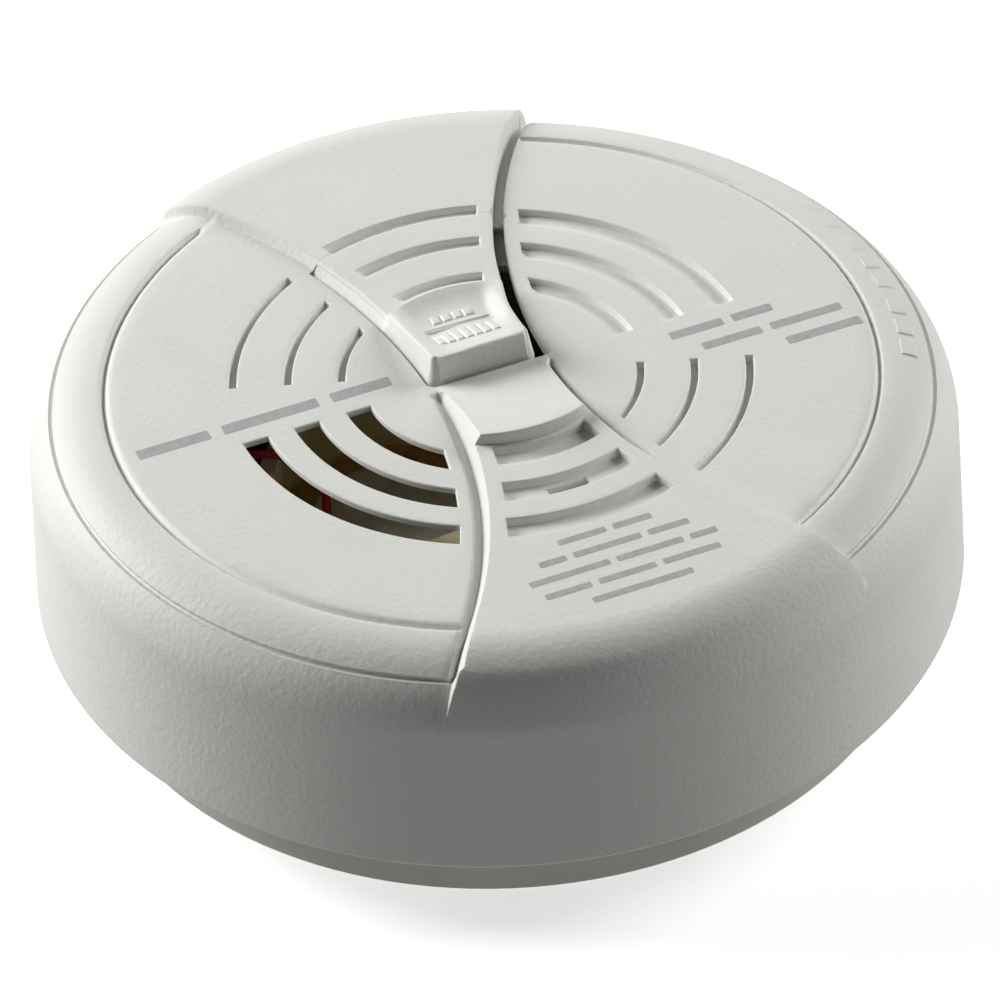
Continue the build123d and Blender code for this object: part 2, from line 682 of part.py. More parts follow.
with BuildPart() as horn_inductor:
    for z, radius, height in [(0, 5.5, 1.6), (1.6, 4.2, 7.0), (8.6, 5.5, 1.6)]:
        with BuildSketch(Plane.XY.offset(BOARD_TOP + z)):
            with Locations((-24, -44)):
                Circle(radius)
        extrude(amount=height)
finish(horn_inductor, "horn_inductor")


def led(at):
    """A domed 3 mm lamp on its rim, with two legs down to the board."""
    with BuildPart() as lamp:
        with Locations((*at, LED_Z + 0.5)):
            Cylinder(1.9, 1.0)
        with Locations((*at, LED_Z + 2.3)):
            Cylinder(1.5, 2.6)
        with Locations((*at, LED_Z + 3.6)):
            Sphere(1.5)
        leg_length = LED_Z - BOARD_TOP
        with Locations((*at, BOARD_TOP + leg_length / 2)):
            with GridLocations(1.27, 0, 2, 1):
                Box(0.5, 0.5, leg_length)
    return lamp


led_green = led(LED_GREEN_AT)
finish(led_green, "led_green")

led_red = led(LED_RED_AT)
finish(led_red, "led_red")


# ---------------------------------------------------------------- battery and drawer
with BuildPart() as battery_drawer:
    # Curved front that fills the window in the cover's wall.
    with BuildSketch(Plane.XZ):
        with BuildLine():
            Polyline(
                (RIM_RADIUS - WALL, RIM_Z),
                (RIM_RADIUS, RIM_Z),
                (SHOULDER_RADIUS, SHOULDER_Z),
                (SHOULDER_RADIUS - WALL, SHOULDER_Z),
                close=True,
            )
        make_face()
    revolve(axis=Axis.Z)
    front_height = BAY_TOP - PLATE_TOP - 0.7
    front_z = DRAWER_Z - 0.05 + front_height / 2
    with Locations((0, RIM_RADIUS - 8, front_z)):
        Box(2 * WINDOW_HALF_WIDTH - 0.7, 24, front_height, mode=Mode.INTERSECT)
    # Finger grip: a shallow scoop under the drawer's upper edge.
    with Locations((0, RIM_RADIUS + 5.4, front_z + 5)):
        Sphere(8, mode=Mode.SUBTRACT)
    # Floor, back wall and right wall; the left side is open to the contacts.
    with BuildSketch(Plane.XY.offset(DRAWER_Z)):
        with Locations((0, DRAWER_BACK_Y + 20)):
            Rectangle(2 * DRAWER_HALF_WIDTH, 40)
        Circle(RIM_RADIUS - WALL, mode=Mode.INTERSECT)
    extrude(amount=DRAWER_FLOOR)
    with BuildSketch(Plane.XY.offset(DRAWER_Z)):
        with Locations((0, DRAWER_BACK_Y + 0.7)):
            Rectangle(2 * DRAWER_HALF_WIDTH, 1.4)
        with Locations((DRAWER_HALF_WIDTH - 0.7, DRAWER_BACK_Y + 13)):
            Rectangle(1.4, 26)
    extrude(amount=5.0)
finish(battery_drawer, "battery_drawer")

battery_centre_x = BATTERY_RIGHT_X - BATTERY_BODY[0] / 2
battery_left_x = BATTERY_RIGHT_X - BATTERY_BODY[0]
battery_mid_z = BATTERY_Z + BATTERY_BODY[2] / 2

with BuildPart() as battery_case:
    with Locations((battery_centre_x, BATTERY_Y, battery_mid_z)):
        Box(*BATTERY_BODY)
    fillet(battery_case.edges().filter_by(Axis.X), 1.8)
finish(battery_case, "battery_case")

with BuildPart() as battery_positive_terminal:
    positive_at = (battery_left_x, BATTERY_Y + TERMINAL_OFFSET, battery_mid_z)
    with BuildSketch(Plane(origin=positive_at, z_dir=(-1, 0, 0))):
        Circle(2.9)
    extrude(amount=TERMINAL_HEIGHT)
finish(battery_positive_terminal, "battery_positive_terminal")

with BuildPart() as battery_negative_terminal:
    negative_at = (battery_left_x, BATTERY_Y - TERMINAL_OFFSET, battery_mid_z)
    with BuildSketch(Plane(origin=negative_at, z_dir=(-1, 0, 0))):
        RegularPolygon(4.1, 6)
        Circle(2.6, mode=Mode.SUBTRACT)
    extrude(amount=TERMINAL_HEIGHT)
finish(battery_negative_terminal, "battery_negative_terminal")

with BuildPart() as battery_contacts:
    contact_x = -BAY_HALF_WIDTH - BAY_WALL
    for y in (BATTERY_Y - TERMINAL_OFFSET, BATTERY_Y + TERMINAL_OFFSET):
        with BuildSketch(Plane.XZ.offset(-y)):
            with BuildLine():
                Polyline(
                    (contact_x - 0.3, BOARD_TOP - 5),
                    (contact_x - 0.3, battery_mid_z - 3.0),
                    (contact_x + 4.95, battery_mid_z),
                    (contact_x + 0.9, battery_mid_z + 3.2),
                )
                offset(amount=0.25)
            make_face()
        extrude(amount=2.2, both=True)
finish(battery_contacts, "battery_contacts")

battery_lead_red = lead(
    [
        (-31.0, BATTERY_Y + TERMINAL_OFFSET, 20),
        (-36, 56, 18.5),
        (-44, 46, 18),
        (-47, 36, 20),
        (-47, 30, 29),
        (-47, 24, 30),
        (-47, 24, BOARD_TOP),
    ]
)
finish(battery_lead_red, "battery_lead_red")

battery_lead_black = lead(
    [
        (-31.0, BATTERY_Y - TERMINAL_OFFSET, 20),
        (-36, 43, 18.5),
        (-40, 37, 20),
        (-41, 30.5, 28),
        (-41, 26.5, 29),
        (-41, 26.5, BOARD_TOP),
    ]
)
finish(battery_lead_black, "battery_lead_black")


# ---------------------------------------------------------------- screws
def pan_screw(at, seat_z, head_direction, shank_radius, shank_length, head_radius):
    """A pan-head screw; head_direction is +1 when the head faces +Z."""
    head_height = 1.8
    with Locations((*at, seat_z + head_direction * head_height / 2)):
        Cylinder(head_radius, head_height)
    with Locations((*at, seat_z - head_direction * shank_length / 2)):
        Cylinder(shank_radius, shank_length)
    with Locations((*at, seat_z + head_direction * head_height)):
        Box(head_radius * 1.2, 0.7, 1.2, mode=Mode.SUBTRACT)
        Box(0.7, head_radius * 1.2, 1.2, mode=Mode.SUBTRACT)


with BuildPart() as cover_screws:
    for angle in COVER_SCREW_ANGLES:
        pan_screw(on_circle(COVER_SCREW_RADIUS, angle), RIM_Z, -1, 1.45, 14, 3.0)
finish(cover_screws, "cover_screws")

with BuildPart() as board_screws:
    for angle in BOARD_SCREW_ANGLES:
        pan_screw(on_circle(BOARD_SCREW_RADIUS, angle), BOARD_TOP, 1, 1.25, 8, 2.6)
finish(board_screws, "board_screws")
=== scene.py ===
"""Looks of a round carbon monoxide alarm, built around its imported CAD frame.

The shells are drawn in an unrolled plan, in millimetres: a point's direction from the centre is
its real direction, and its distance is measured along the cover's surface. Heights are measured
from the flat face. Everything becomes metres in the row frame when a mesh is made.
"""

import json
from math import atan2, ceil, cos, hypot, pi, radians, sin, sqrt, tan

import bpy
import numpy as np
from mathutils import Matrix, Vector
from mathutils.geometry import delaunay_2d_cdt


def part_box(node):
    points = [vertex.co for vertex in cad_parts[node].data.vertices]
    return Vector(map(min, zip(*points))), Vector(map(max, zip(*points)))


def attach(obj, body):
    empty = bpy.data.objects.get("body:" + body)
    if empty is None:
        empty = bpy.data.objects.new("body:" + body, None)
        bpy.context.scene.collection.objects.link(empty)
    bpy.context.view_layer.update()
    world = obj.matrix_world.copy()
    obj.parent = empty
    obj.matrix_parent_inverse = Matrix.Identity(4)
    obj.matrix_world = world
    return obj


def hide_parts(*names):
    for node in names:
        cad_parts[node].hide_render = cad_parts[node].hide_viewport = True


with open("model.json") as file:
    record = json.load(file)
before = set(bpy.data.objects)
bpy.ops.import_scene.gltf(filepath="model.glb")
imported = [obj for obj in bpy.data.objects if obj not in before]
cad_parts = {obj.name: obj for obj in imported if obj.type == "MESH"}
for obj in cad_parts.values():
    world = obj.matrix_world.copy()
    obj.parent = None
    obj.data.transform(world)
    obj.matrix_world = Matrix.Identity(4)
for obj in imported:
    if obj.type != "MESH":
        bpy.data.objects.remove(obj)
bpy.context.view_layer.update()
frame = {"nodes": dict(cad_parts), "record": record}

MM = 0.001
NODES = frame["nodes"]

# ---------------- sizes, from the frame
cover_low, cover_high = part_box("front_cover")
RIM_RADIUS = cover_high.x / MM
RIM_Z = cover_low.z / MM
FACE_Z = RIM_Z + 36.2
RIM_DEPTH = FACE_Z - RIM_Z          # the cover's open edge, below the face
WALL = 2.2
SLOTTED_WALL = 1.0                  # around the sound slots

BAND_RISE = 1.3                     # the two bands stand this far above the face
BORDER_CENTRE = 99.2                # their borders are arcs centred on the X axis
BORDER_RADIUS = 90.0
PAD_RADIUS = 19.0
PAD_RISE = 3.7
OPENING_REAR = 37.98                # of the test button
OPENING_FRONT = 0.1
OPENING_LIP = 0.7                   # the opening runs this far into the right-hand sector
OPENING_LEFT_CENTRE = -115.15
OPENING_LEFT_RADIUS = 105.0

SLOT_RINGS = [(19.6, 23.6), (28.0, 32.1), (36.3, 40.4)]
NARROW_RINGS = [(22.1, 23.4), (30.3, 31.6), (38.7, 40.0)]
PETAL_RINGS = [(20.8, 22.9), (29.4, 31.9), (37.4, 39.9)]

_, drawer_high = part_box("battery_drawer")
WINDOW_HALF_WIDTH = drawer_high.x / MM + 0.35
WINDOW_TOP = drawer_high.z / MM - FACE_Z + 0.3
WINDOW_BOTTOM = RIM_Z + WALL - FACE_Z


# ---------------- the cover's half sections
def arc(centre, radius, start, end, step=0.1):
    """Points along an arc, angles in degrees from the outward direction."""
    count = max(2, ceil(abs(radians(end - start)) * radius / step))
    angles = np.radians(np.linspace(start, end, count + 1))
    return [(centre[0] + radius * cos(a), centre[1] + radius * sin(a)) for a in angles]


def polar(r, turn):
    return (r * cos(turn), r * sin(turn))


def straight(start, end, step=0.1):
    count = max(2, ceil(hypot(end[0] - start[0], end[1] - start[1]) / step))
    return [tuple(p) for p in np.linspace(start, end, count + 1)]


class Profile:
    """A half section as a function of the distance along it from the centre."""

    def __init__(self, points):
        points = np.array([p for p, q in zip(points, points[1:] + [(1e9, 0)]) if p != q])
        steps = np.hypot(*np.diff(points, axis=0).T)
        self.s = np.concatenate([[0], np.cumsum(steps)])
        self.r, self.z = points.T
        slope = np.gradient(self.z, self.s)
        run = np.gradient(self.r, self.s)
        size = np.hypot(slope, run)
        self.nr, self.nz = -slope / size, run / size

    def at(self, s):
        return np.interp(s, self.s, self.r), np.interp(s, self.s, self.z)

    def normal(self, s):
        return np.interp(s, self.s, self.nr), np.interp(s, self.s, self.nz)

    def distance_at_radius(self, r):
        return np.interp(r, self.r, self.s)


FLAT_RADIUS = 58.15
INNER_GROOVE = (59.15, -0.25)       # radius and height of the groove's middle
OUTER_GROOVE = (67.3, -3.3)
RING_BULGE = 0.8                    # of the sloping ring, above the line between the grooves
SHOULDER = (71.1, -11.2)
SHOULDER_ROUND = 10.1
RIM_ROUND = 0.7
RIM_TURN = 80                       # degrees of the rim's round
BAND_ROUND = 10.0
BAND_FLAT = 71.2 - BAND_ROUND
BAND_JOIN = 0.05                    # the band's round starts this far inside its flat


def ring_points():
    """The convex ring between the two grooves."""
    start, end = Vector(INNER_GROOVE), Vector(OUTER_GROOVE)
    chord = end - start
    bulge = Vector((-chord.y, chord.x)).normalized() * RING_BULGE
    return [
        tuple(start + chord * t + bulge * 4 * t * (1 - t)) for t in np.linspace(0, 1, 80)
    ]


shoulder_run = (OUTER_GROOVE[0] - SHOULDER[0] + SHOULDER_ROUND) / SHOULDER_ROUND
groove_angle = np.degrees(np.arccos(shoulder_run))
wall_end = (RIM_RADIUS - 0.02, -RIM_DEPTH + RIM_ROUND)
rim_arc = arc((wall_end[0] - RIM_ROUND, wall_end[1]), RIM_ROUND, 0, -RIM_TURN)
sector_profile = Profile(
    straight((0, 0), (FLAT_RADIUS, 0))
    + straight((FLAT_RADIUS, 0), INNER_GROOVE)
    + ring_points()
    + arc((SHOULDER[0] - SHOULDER_ROUND, SHOULDER[1]), SHOULDER_ROUND, groove_angle, 0)
    + straight(SHOULDER, wall_end)
    + rim_arc
)
S_FLAT = FLAT_RADIUS
S_INNER = sector_profile.distance_at_radius(INNER_GROOVE[0])
S_OUTER = sector_profile.distance_at_radius(OUTER_GROOVE[0])
S_SHOULDER = sector_profile.distance_at_radius(SHOULDER[0])
S_RIM = sector_profile.s[-1]
S_WALL_END = S_RIM - RIM_ROUND * radians(RIM_TURN)

band_profile = Profile(
    straight((0, BAND_RISE), (BAND_FLAT, BAND_RISE))
    + arc((BAND_FLAT - BAND_JOIN, BAND_RISE - BAND_ROUND), BAND_ROUND, 90, 0)
    + straight((BAND_FLAT - BAND_JOIN + BAND_ROUND, BAND_RISE - BAND_ROUND), wall_end)
    + rim_arc
)
B_SHOULDER = BAND_FLAT + BAND_ROUND * pi / 2
B_RIM = band_profile.s[-1]
B_WALL_END = B_RIM - RIM_ROUND * radians(RIM_TURN)


def band_distance(s):
    """The distance along the band's section that goes with one along the sector's."""
    return np.interp(
        s,
        [0, BAND_FLAT, S_SHOULDER, S_WALL_END, S_RIM],
        [0, BAND_FLAT, B_SHOULDER, B_WALL_END, B_RIM],
    )


def ease(t):
    t = np.clip(t, 0, 1)
    return t * t * (3 - 2 * t)


def soft_min(a, b, width=0.3):
    """The smaller of two heights, with a small round where they meet."""
    overlap = np.clip(width - np.abs(a - b), 0, None) / width
    return np.minimum(a, b) - overlap**2 * width / 4


# ---------------- slots and grooves
# A slot's side is drawn by four depths: these three and its floor. It reaches each of them this
# far inside the slot's edge, or outside it where the number is below zero.
EDGE_DEPTHS = (0, 0.05, 0.2)
STEEP_SIDE = (-0.35, -0.1, 0.03)
STEEP_FOOT, SHALLOW_FOOT = 0.15, 0.06       # where the side meets the floor, in either slot
DEEP_SLOT = 0.6                             # a slot deeper than this has the steep foot
GENTLE_SIDE = (-0.2, 0.1, 0.3)
OPEN_MARGIN = 0.005                         # between an opening's arcs and their chords


class BorderEnd:
    """An end that follows a band's border; into is how far inside the sector it lies, and is
    below zero in the band."""

    def __init__(self, side, into, upper):
        self.side, self.into, self.upper = side, into, upper
        self.sign = 1 if into > 0 else -1

    def angle(self, r, grow):
        reach = BORDER_RADIUS - self.into + self.sign * grow
        x = (r * r + BORDER_CENTRE**2 - reach**2) / (2 * BORDER_CENTRE)
        y = sqrt(max(r * r - x * x, 0)) * (1 if self.upper else -1)
        return atan2(y, self.side * x) % (2 * pi)

    def outside(self, x, y):
        return self.sign * (self.into - into_sector(x, y, self.side))


class LevelEnd:
    """An end along a line of constant y; facing is +1 where the slot lies above the line."""

    def __init__(self, level, facing, left):
        self.level, self.facing, self.left = level, facing, left

    def angle(self, r, grow):
        a = np.arcsin(np.clip((self.level - self.facing * grow) / r, -1, 1))
        return (pi - a if self.left else a) % (2 * pi)

    def outside(self, x, y):
        return self.facing * (self.level - y)


class RadialEnd:
    """An end along a spoke; turn is +1 where the slot ends there going counterclockwise."""

    def __init__(self, degrees, turn):
        self.direction, self.turn = radians(degrees), turn

    def angle(self, r, grow):
        return (self.direction + self.turn * grow / r) % (2 * pi)

    def outside(self, x, y):
        return self.turn * (y * cos(self.direction) - x * sin(self.direction))


def side_section(slope, depth):
    """How far inside an edge a slot reaches each of its depths; a slope makes a gentle side."""
    if slope is None:
        return np.array([*STEEP_SIDE, STEEP_FOOT if depth > DEEP_SLOT else SHALLOW_FOOT])
    return np.array([*GENTLE_SIDE, slope])


class Slot:
    """An arc slot between two ends, with a cross-section for each of its sides."""

    def __init__(self, ring, start, end, depth, inner_slope=None, end_slope=None):
        self.inner, self.outer = ring
        self.start, self.end = start, end
        self.upper = None           # a slot between two borders is cut in one half only
        if isinstance(start, BorderEnd) and isinstance(end, BorderEnd):
            self.upper = start.upper
        self.depths = np.array([*EDGE_DEPTHS, depth])
        self.inner_side = side_section(inner_slope, depth)
        self.outer_side = self.start_side = side_section(None, depth)
        self.end_side = side_section(end_slope, depth)

    def loops(self):
        """The slot's outline at each of its depths."""
        return [(self.loop(level), True) for level in range(len(self.depths))]

    def loop(self, level, step=0.6):
        """The outline where the slot has reached one of its depths."""
        inner = self.inner + self.inner_side[level]
        outer = self.outer - self.outer_side[level]
        grow_start, grow_end = -self.start_side[level], -self.end_side[level]

        def ends(r):
            a, b = self.start.angle(r, grow_start), self.end.angle(r, grow_end)
            return a, b + (2 * pi if b < a else 0)

        def side(r):
            a, b = ends(r)
            return [polar(r, t) for t in np.linspace(a, b, max(6, int((b - a) * r / step)))]

        radii = np.linspace(outer, inner, max(3, int((outer - inner) / step) + 1))[1:-1]
        points = side(outer) + [polar(r, ends(r)[1]) for r in radii]
        return points + side(inner)[::-1] + [polar(r, ends(r)[0]) for r in radii[::-1]]

    def depth(self, x, y, r):
        sides = [
            np.interp(r - self.inner, self.inner_side, self.depths),
            np.interp(self.outer - r, self.outer_side, self.depths),
            np.interp(-self.start.outside(x, y), self.start_side, self.depths),
            np.interp(-self.end.outside(x, y), self.end_side, self.depths),
        ]
        depth = np.minimum.reduce(sides)
        return depth if self.upper is None else depth * ((y > 0) == self.upper)

    def inside(self, x, y):
        r = np.hypot(x, y)
        deep = self.outer_side[-1] - OPEN_MARGIN
        return (
            (r - self.inner > deep)
            & (self.outer - r > deep)
            & (-self.start.outside(x, y) > deep)
            & (-self.end.outside(x, y) > deep)
        )


sound_slots = [
    Slot(ring, LevelEnd(0.4, -1, True), BorderEnd(-1, 3.3, False), 0.5) for ring in SLOT_RINGS
]
blind_slots = [
    Slot(ring, LevelEnd(0.0, 1, False), BorderEnd(1, 3.0, True), 1.2, inner_slope=2.2)
    for ring in SLOT_RINGS
]
upper_grooves = [
    Slot(ring, BorderEnd(-1, 2.7, True), RadialEnd(160, 1), 1.3) for ring in NARROW_RINGS
]
lower_grooves = [
    Slot(ring, BorderEnd(1, 2.4, False), RadialEnd(340, 1), 1.3) for ring in NARROW_RINGS
]
band_recesses = [
    Slot(ring, BorderEnd(-1, -3.5, False), BorderEnd(1, -3.5, False), 1.5) for ring in SLOT_RINGS
]
petal_ends = (RadialEnd(70, -1), RadialEnd(108, 1))
petal_groove = Slot(PETAL_RINGS[2], *petal_ends, 1.2, inner_slope=1.3, end_slope=1.0)
cover_slots = (
    sound_slots + blind_slots + upper_grooves + lower_grooves + band_recesses + [petal_groove]
)
LIGHT_WINDOW = (-3.5, 3.0, 29.2, 31.2)      # x range and radius range of the small window


# ---------------- the cover's surface
BEVEL_HALF_WIDTH = 0.85                     # of the upper left bevel
LEFT_LEAN = 0.45                            # run of the bands' left side, per mm of height
RIGHT_LEAN = 0.6
CHANNEL_DEPTH = 1.2
LEFT_APRON = 1.6                            # reach of the left channel's slope near the centre
NARROW_APRON = 1.0                          # and outside the flat face
RIGHT_LIP = 0.5
TROUGH = 1.8                                # depth of the channel beside the petal
MELT_START = 0.5                            # the band melts into the wall past the outer groove
MELT_LENGTH = 6.0

# Sections of small features: how far each point lies past the feature's edge or middle, and its
# height or depth there, as a share of the full one in the first three and in mm in the others.
PAD_EDGE_SECTION = [[-0.45, -0.15, -0.04, 0.05], [0, 0.05, 0.2, 1]]
PETAL_EDGE_SECTION = [[-1.3, -1.1, -1.02, -0.95], [1, 0.96, 0.85, 0]]
TROUGH_SECTION = [[-1.02, -0.95, 0.6, 0.7, 0.85, 1.25], [0, 1, 1, 0.35, 0.07, 0]]
OUTER_GROOVE_SECTION = [[0.12, 0.5], [0.55, 0]]
INNER_GROOVE_SECTION = [
    [-3.0, -1.5, -0.6, -0.15, 0.12, 0.4, 0.7],
    [0, 0.1, 0.34, 0.72, 0.7, 0.1, 0],
]
MARK_SECTION = [[-0.3, -0.12, 0.0, 0.14], [0.22, 0.2, 0.07, 0]]

# Plain raised marks on the ring, by the direction of their middles in degrees.
RING_MARKS = (-19.5, -14.8, -10.1, -4.0, 0.7, 5.4, 11.5, 16.2)
MARK_WIDTH = 3.6
MARK_LOW, MARK_HIGH = 62.6, 65.2


def ring_mark_outside(middle, s, turn):
    """How far points lie outside a raised mark, below zero inside it."""
    along = (turn - radians(middle) + pi) % (2 * pi) - pi
    across = np.maximum(MARK_LOW - s, s - MARK_HIGH)
    return np.maximum(np.abs(along) * MARK_LOW - MARK_WIDTH / 2, across)


def ring_mark_loop(middle, grow):
    half = (MARK_WIDTH / 2 + grow) / MARK_LOW
    turns = np.linspace(radians(middle) - half, radians(middle) + half, 6)
    low, high = MARK_LOW - grow, MARK_HIGH + grow
    return [polar(high, t) for t in turns] + [polar(low, t) for t in turns[::-1]]


def into_sector(x, y, side):
    """How far a point lies inside the left (-1) or right (+1) sector."""
    return BORDER_RADIUS - np.hypot(x - side * BORDER_CENTRE, y)


def bevel_centre(y):
    """Where the upper left bevel is centred, as a distance into the sector."""
    return -1.8 - 0.025 * (y - 37.0)


def ramp(y):
    return PAD_RISE * np.clip(-y / PAD_RADIUS, 0, 1)


def band_section(s):
    """The band's section, which melts into the sector's below the outer groove."""
    r, z = sector_profile.at(s)
    band_r, band_z = band_profile.at(band_distance(s))
    melt = ease((s - S_OUTER - MELT_START) / MELT_LENGTH)
    return band_r + (r - band_r) * melt, band_z + (z - band_z) * melt


def channel_depth(s, y, side):
    """The channel beside the lower band, which runs from a rounded start to the outer groove on
    the left and fades out halfway on the right."""
    depth = CHANNEL_DEPTH * ease((-y - 1.0) / 1.2)
    if side > 0:
        return depth * (1 - ease((s - 26) / 16))
    return depth * ease((S_OUTER + 0.4 - s) / 0.8)


def apron(s):
    """How far the left channel's sloping side reaches into the sector."""
    return LEFT_APRON - (LEFT_APRON - NARROW_APRON) * ease((s - S_FLAT) / 4)


def pad_edge(r):
    """How far the pad's rear edge has dropped towards the band, from 0 to 1."""
    return np.interp(r - PAD_RADIUS, *PAD_EDGE_SECTION)


def cover_surface(plan):
    """Points on the cover for points in the unrolled plan."""
    s = np.hypot(plan[:, 0], plan[:, 1])
    turn = np.arctan2(plan[:, 1], plan[:, 0])
    r, z = sector_profile.at(s)
    band_r, band_z = band_section(s)
    normal_r, normal_z = sector_profile.normal(s)
    x, y = r * np.cos(turn), r * np.sin(turn)
    left, right = into_sector(x, y, -1), into_sector(x, y, 1)
    full = np.hypot(band_r - r, band_z - z)

    # Lower half: the band and its pad stand between two sloping sides.
    left_channel, right_channel = channel_depth(s, y, -1), channel_depth(s, y, 1)
    drop = pad_edge(r)
    rise = np.where(s < PAD_RADIUS + 2, ramp(y) * (1 - drop) + BAND_RISE * drop, full)
    left_side = np.maximum(-left, 0) / LEFT_LEAN - left_channel
    right_side = np.maximum(-right, 0) / RIGHT_LEAN - right_channel
    lift = soft_min(soft_min(rise, left_side), right_side)
    lift = np.where(left > 0, -left_channel * (1 - ease(left / apron(s))), lift)
    lift = np.where(right > 0, -right_channel * np.clip(1 - right / RIGHT_LIP, 0, 1), lift)

    # Upper half: a soft bevel on the left, and a trough with a lip on the right.
    bevel = ease((bevel_centre(y) + BEVEL_HALF_WIDTH - left) / (2 * BEVEL_HALF_WIDTH))
    petal = np.interp(right, *PETAL_EDGE_SECTION)
    trough = np.interp(right, *TROUGH_SECTION)
    trough = trough * ease((S_OUTER + 4 - s) / 5) * ease(y / 2)
    upper = full * bevel * petal * (r > OPENING_REAR - 1) - TROUGH * trough
    lift = np.where(y > 0, upper, lift)

    share = np.clip(lift / np.maximum(full, 1e-3), 0, 1)
    along_r = np.where(s > S_FLAT, (band_r - r) * share, 0)
    along_z = np.where(s > S_FLAT, (band_z - z) * share, np.maximum(lift, 0))
    sunk = -np.minimum(lift, 0)

    # The two grooves that frame the sloping ring.
    in_sector = np.maximum(left, right)
    outer = np.interp(np.abs(s - S_OUTER), *OUTER_GROOVE_SECTION) * (in_sector > 0)
    inner = np.interp(s - S_INNER, *INNER_GROOVE_SECTION) * ease((in_sector - 0.7) / 0.8)
    for slot in cover_slots:
        sunk = sunk + slot.depth(x, y, r)
    for middle in RING_MARKS:
        sunk = sunk - np.interp(ring_mark_outside(middle, s, turn), *MARK_SECTION)
    sunk = sunk + outer + inner
    r = r + along_r - sunk * normal_r
    z = z + along_z - sunk * normal_z
    return np.column_stack([r * np.cos(turn), r * np.sin(turn), z])


def cover_underside(plan):
    """The inner skin, one wall thickness below the plain sector section, and less around the
    sound slots."""
    s = np.hypot(plan[:, 0], plan[:, 1])
    turn = np.arctan2(plan[:, 1], plan[:, 0])
    r, z = sector_profile.at(np.minimum(s, S_WALL_END))
    normal_r, normal_z = sector_profile.normal(np.minimum(s, S_WALL_END - 0.5))
    x, y = r * np.cos(turn), r * np.sin(turn)
    slotted = ease(into_sector(x, y, -1) - 2.0) * ease((3.0 - y) / 1.5) * ease((44.0 - r) / 2)
    wall = WALL - (WALL - SLOTTED_WALL) * slotted
    deep = np.interp(s, [S_WALL_END, S_RIM], [z.min(), -RIM_DEPTH])
    z = np.where(s > S_WALL_END, deep, z - wall * normal_z)
    r = r - wall * normal_r
    return np.column_stack([r * np.cos(turn), r * np.sin(turn), z])


# ---------------- lines that the cover's mesh follows
def unroll(x, y):
    """Real plan position to unrolled plan position."""
    r = np.hypot(x, y)
    scale = sector_profile.distance_at_radius(r) / np.maximum(r, 1e-9)
    return np.column_stack([x * scale, y * scale])


def border_line(side, into, y):
    """A line at a distance into the sector along one border, over the given y values."""
    x = side * (BORDER_CENTRE - np.sqrt((BORDER_RADIUS - into) ** 2 - y * y))
    keep = np.hypot(x, y) < SHOULDER[0]
    return unroll(x[keep], y[keep])


def ridge_line(side, y, shift):
    """The top edge of a band's sloping side, moved sideways by shift."""
    into = np.zeros_like(y)
    for _ in range(3):
        x = side * (BORDER_CENTRE - np.sqrt((BORDER_RADIUS - into) ** 2 - y * y))
        r = np.minimum(np.hypot(x, y), SHOULDER[0])
        s = sector_profile.distance_at_radius(r)
        band_r, band_z = band_section(s)
        full = np.hypot(band_r - r, band_z - sector_profile.at(s)[1])
        rise = np.where(r < PAD_RADIUS, ramp(y), full)
        slope = LEFT_LEAN if side < 0 else RIGHT_LEAN
        into = -slope * (rise + channel_depth(s, y, side)) + shift
    return border_line(side, into, y)


def densify(y_start, y_end, step=0.7):
    return np.linspace(y_start, y_end, int(abs(y_end - y_start) / step) + 2)


def ring_line(s, start, end, step=1.0):
    count = int(radians(end - start) * s / step) + 2
    angles = np.radians(np.linspace(start, end, count))
    return np.column_stack([s * np.cos(angles), s * np.sin(angles)])


def rounded(corners, radius, step=0.35):
    """A closed outline with its corners rounded."""
    points = []
    count = len(corners)
    for i in range(count):
        before, corner, after = (Vector(corners[(i + k) % count]) for k in (-1, 0, 1))
        u, v = (before - corner).normalized(), (after - corner).normalized()
        half = u.angle(v) / 2
        if half > 1.45 or radius[i] == 0:
            points.append(tuple(corner))
            continue
        reach = radius[i] / tan(half)
        centre = corner + (u + v).normalized() * radius[i] / sin(half)
        a, b = corner + u * reach - centre, corner + v * reach - centre
        turn = a.angle_signed(b)
        steps = max(3, int(abs(turn) * radius[i] / step) + 1)
        for t in np.linspace(0, -turn, steps):
            spun = Vector((a.x * cos(t) - a.y * sin(t), a.x * sin(t) + a.y * cos(t)))
            points.append(tuple(centre + spun))
    return points


def inside_polygon(x, y, polygon):
    inside = np.zeros(len(x), bool)
    for (ax, ay), (bx, by) in zip(polygon, polygon[1:] + polygon[:1]):
        if ay == by:
            continue
        crosses = (ay > y) != (by > y)
        inside ^= crosses & (x < (bx - ax) * (y - ay) / (by - ay) + ax)
    return inside


def offset_loop(loop, distance):
    """A closed outline moved outwards, for an outline that goes counterclockwise."""
    p = np.array(loop)
    ahead = np.roll(p, -1, 0) - p
    ahead /= np.linalg.norm(ahead, axis=1)[:, None]
    behind = np.roll(ahead, 1, 0)
    normals = np.column_stack([ahead[:, 1] + behind[:, 1], -ahead[:, 0] - behind[:, 0]])
    size = np.linalg.norm(normals, axis=1)
    normals /= size[:, None]
    return p + normals * (distance / np.maximum(size / 2, 0.5))[:, None]


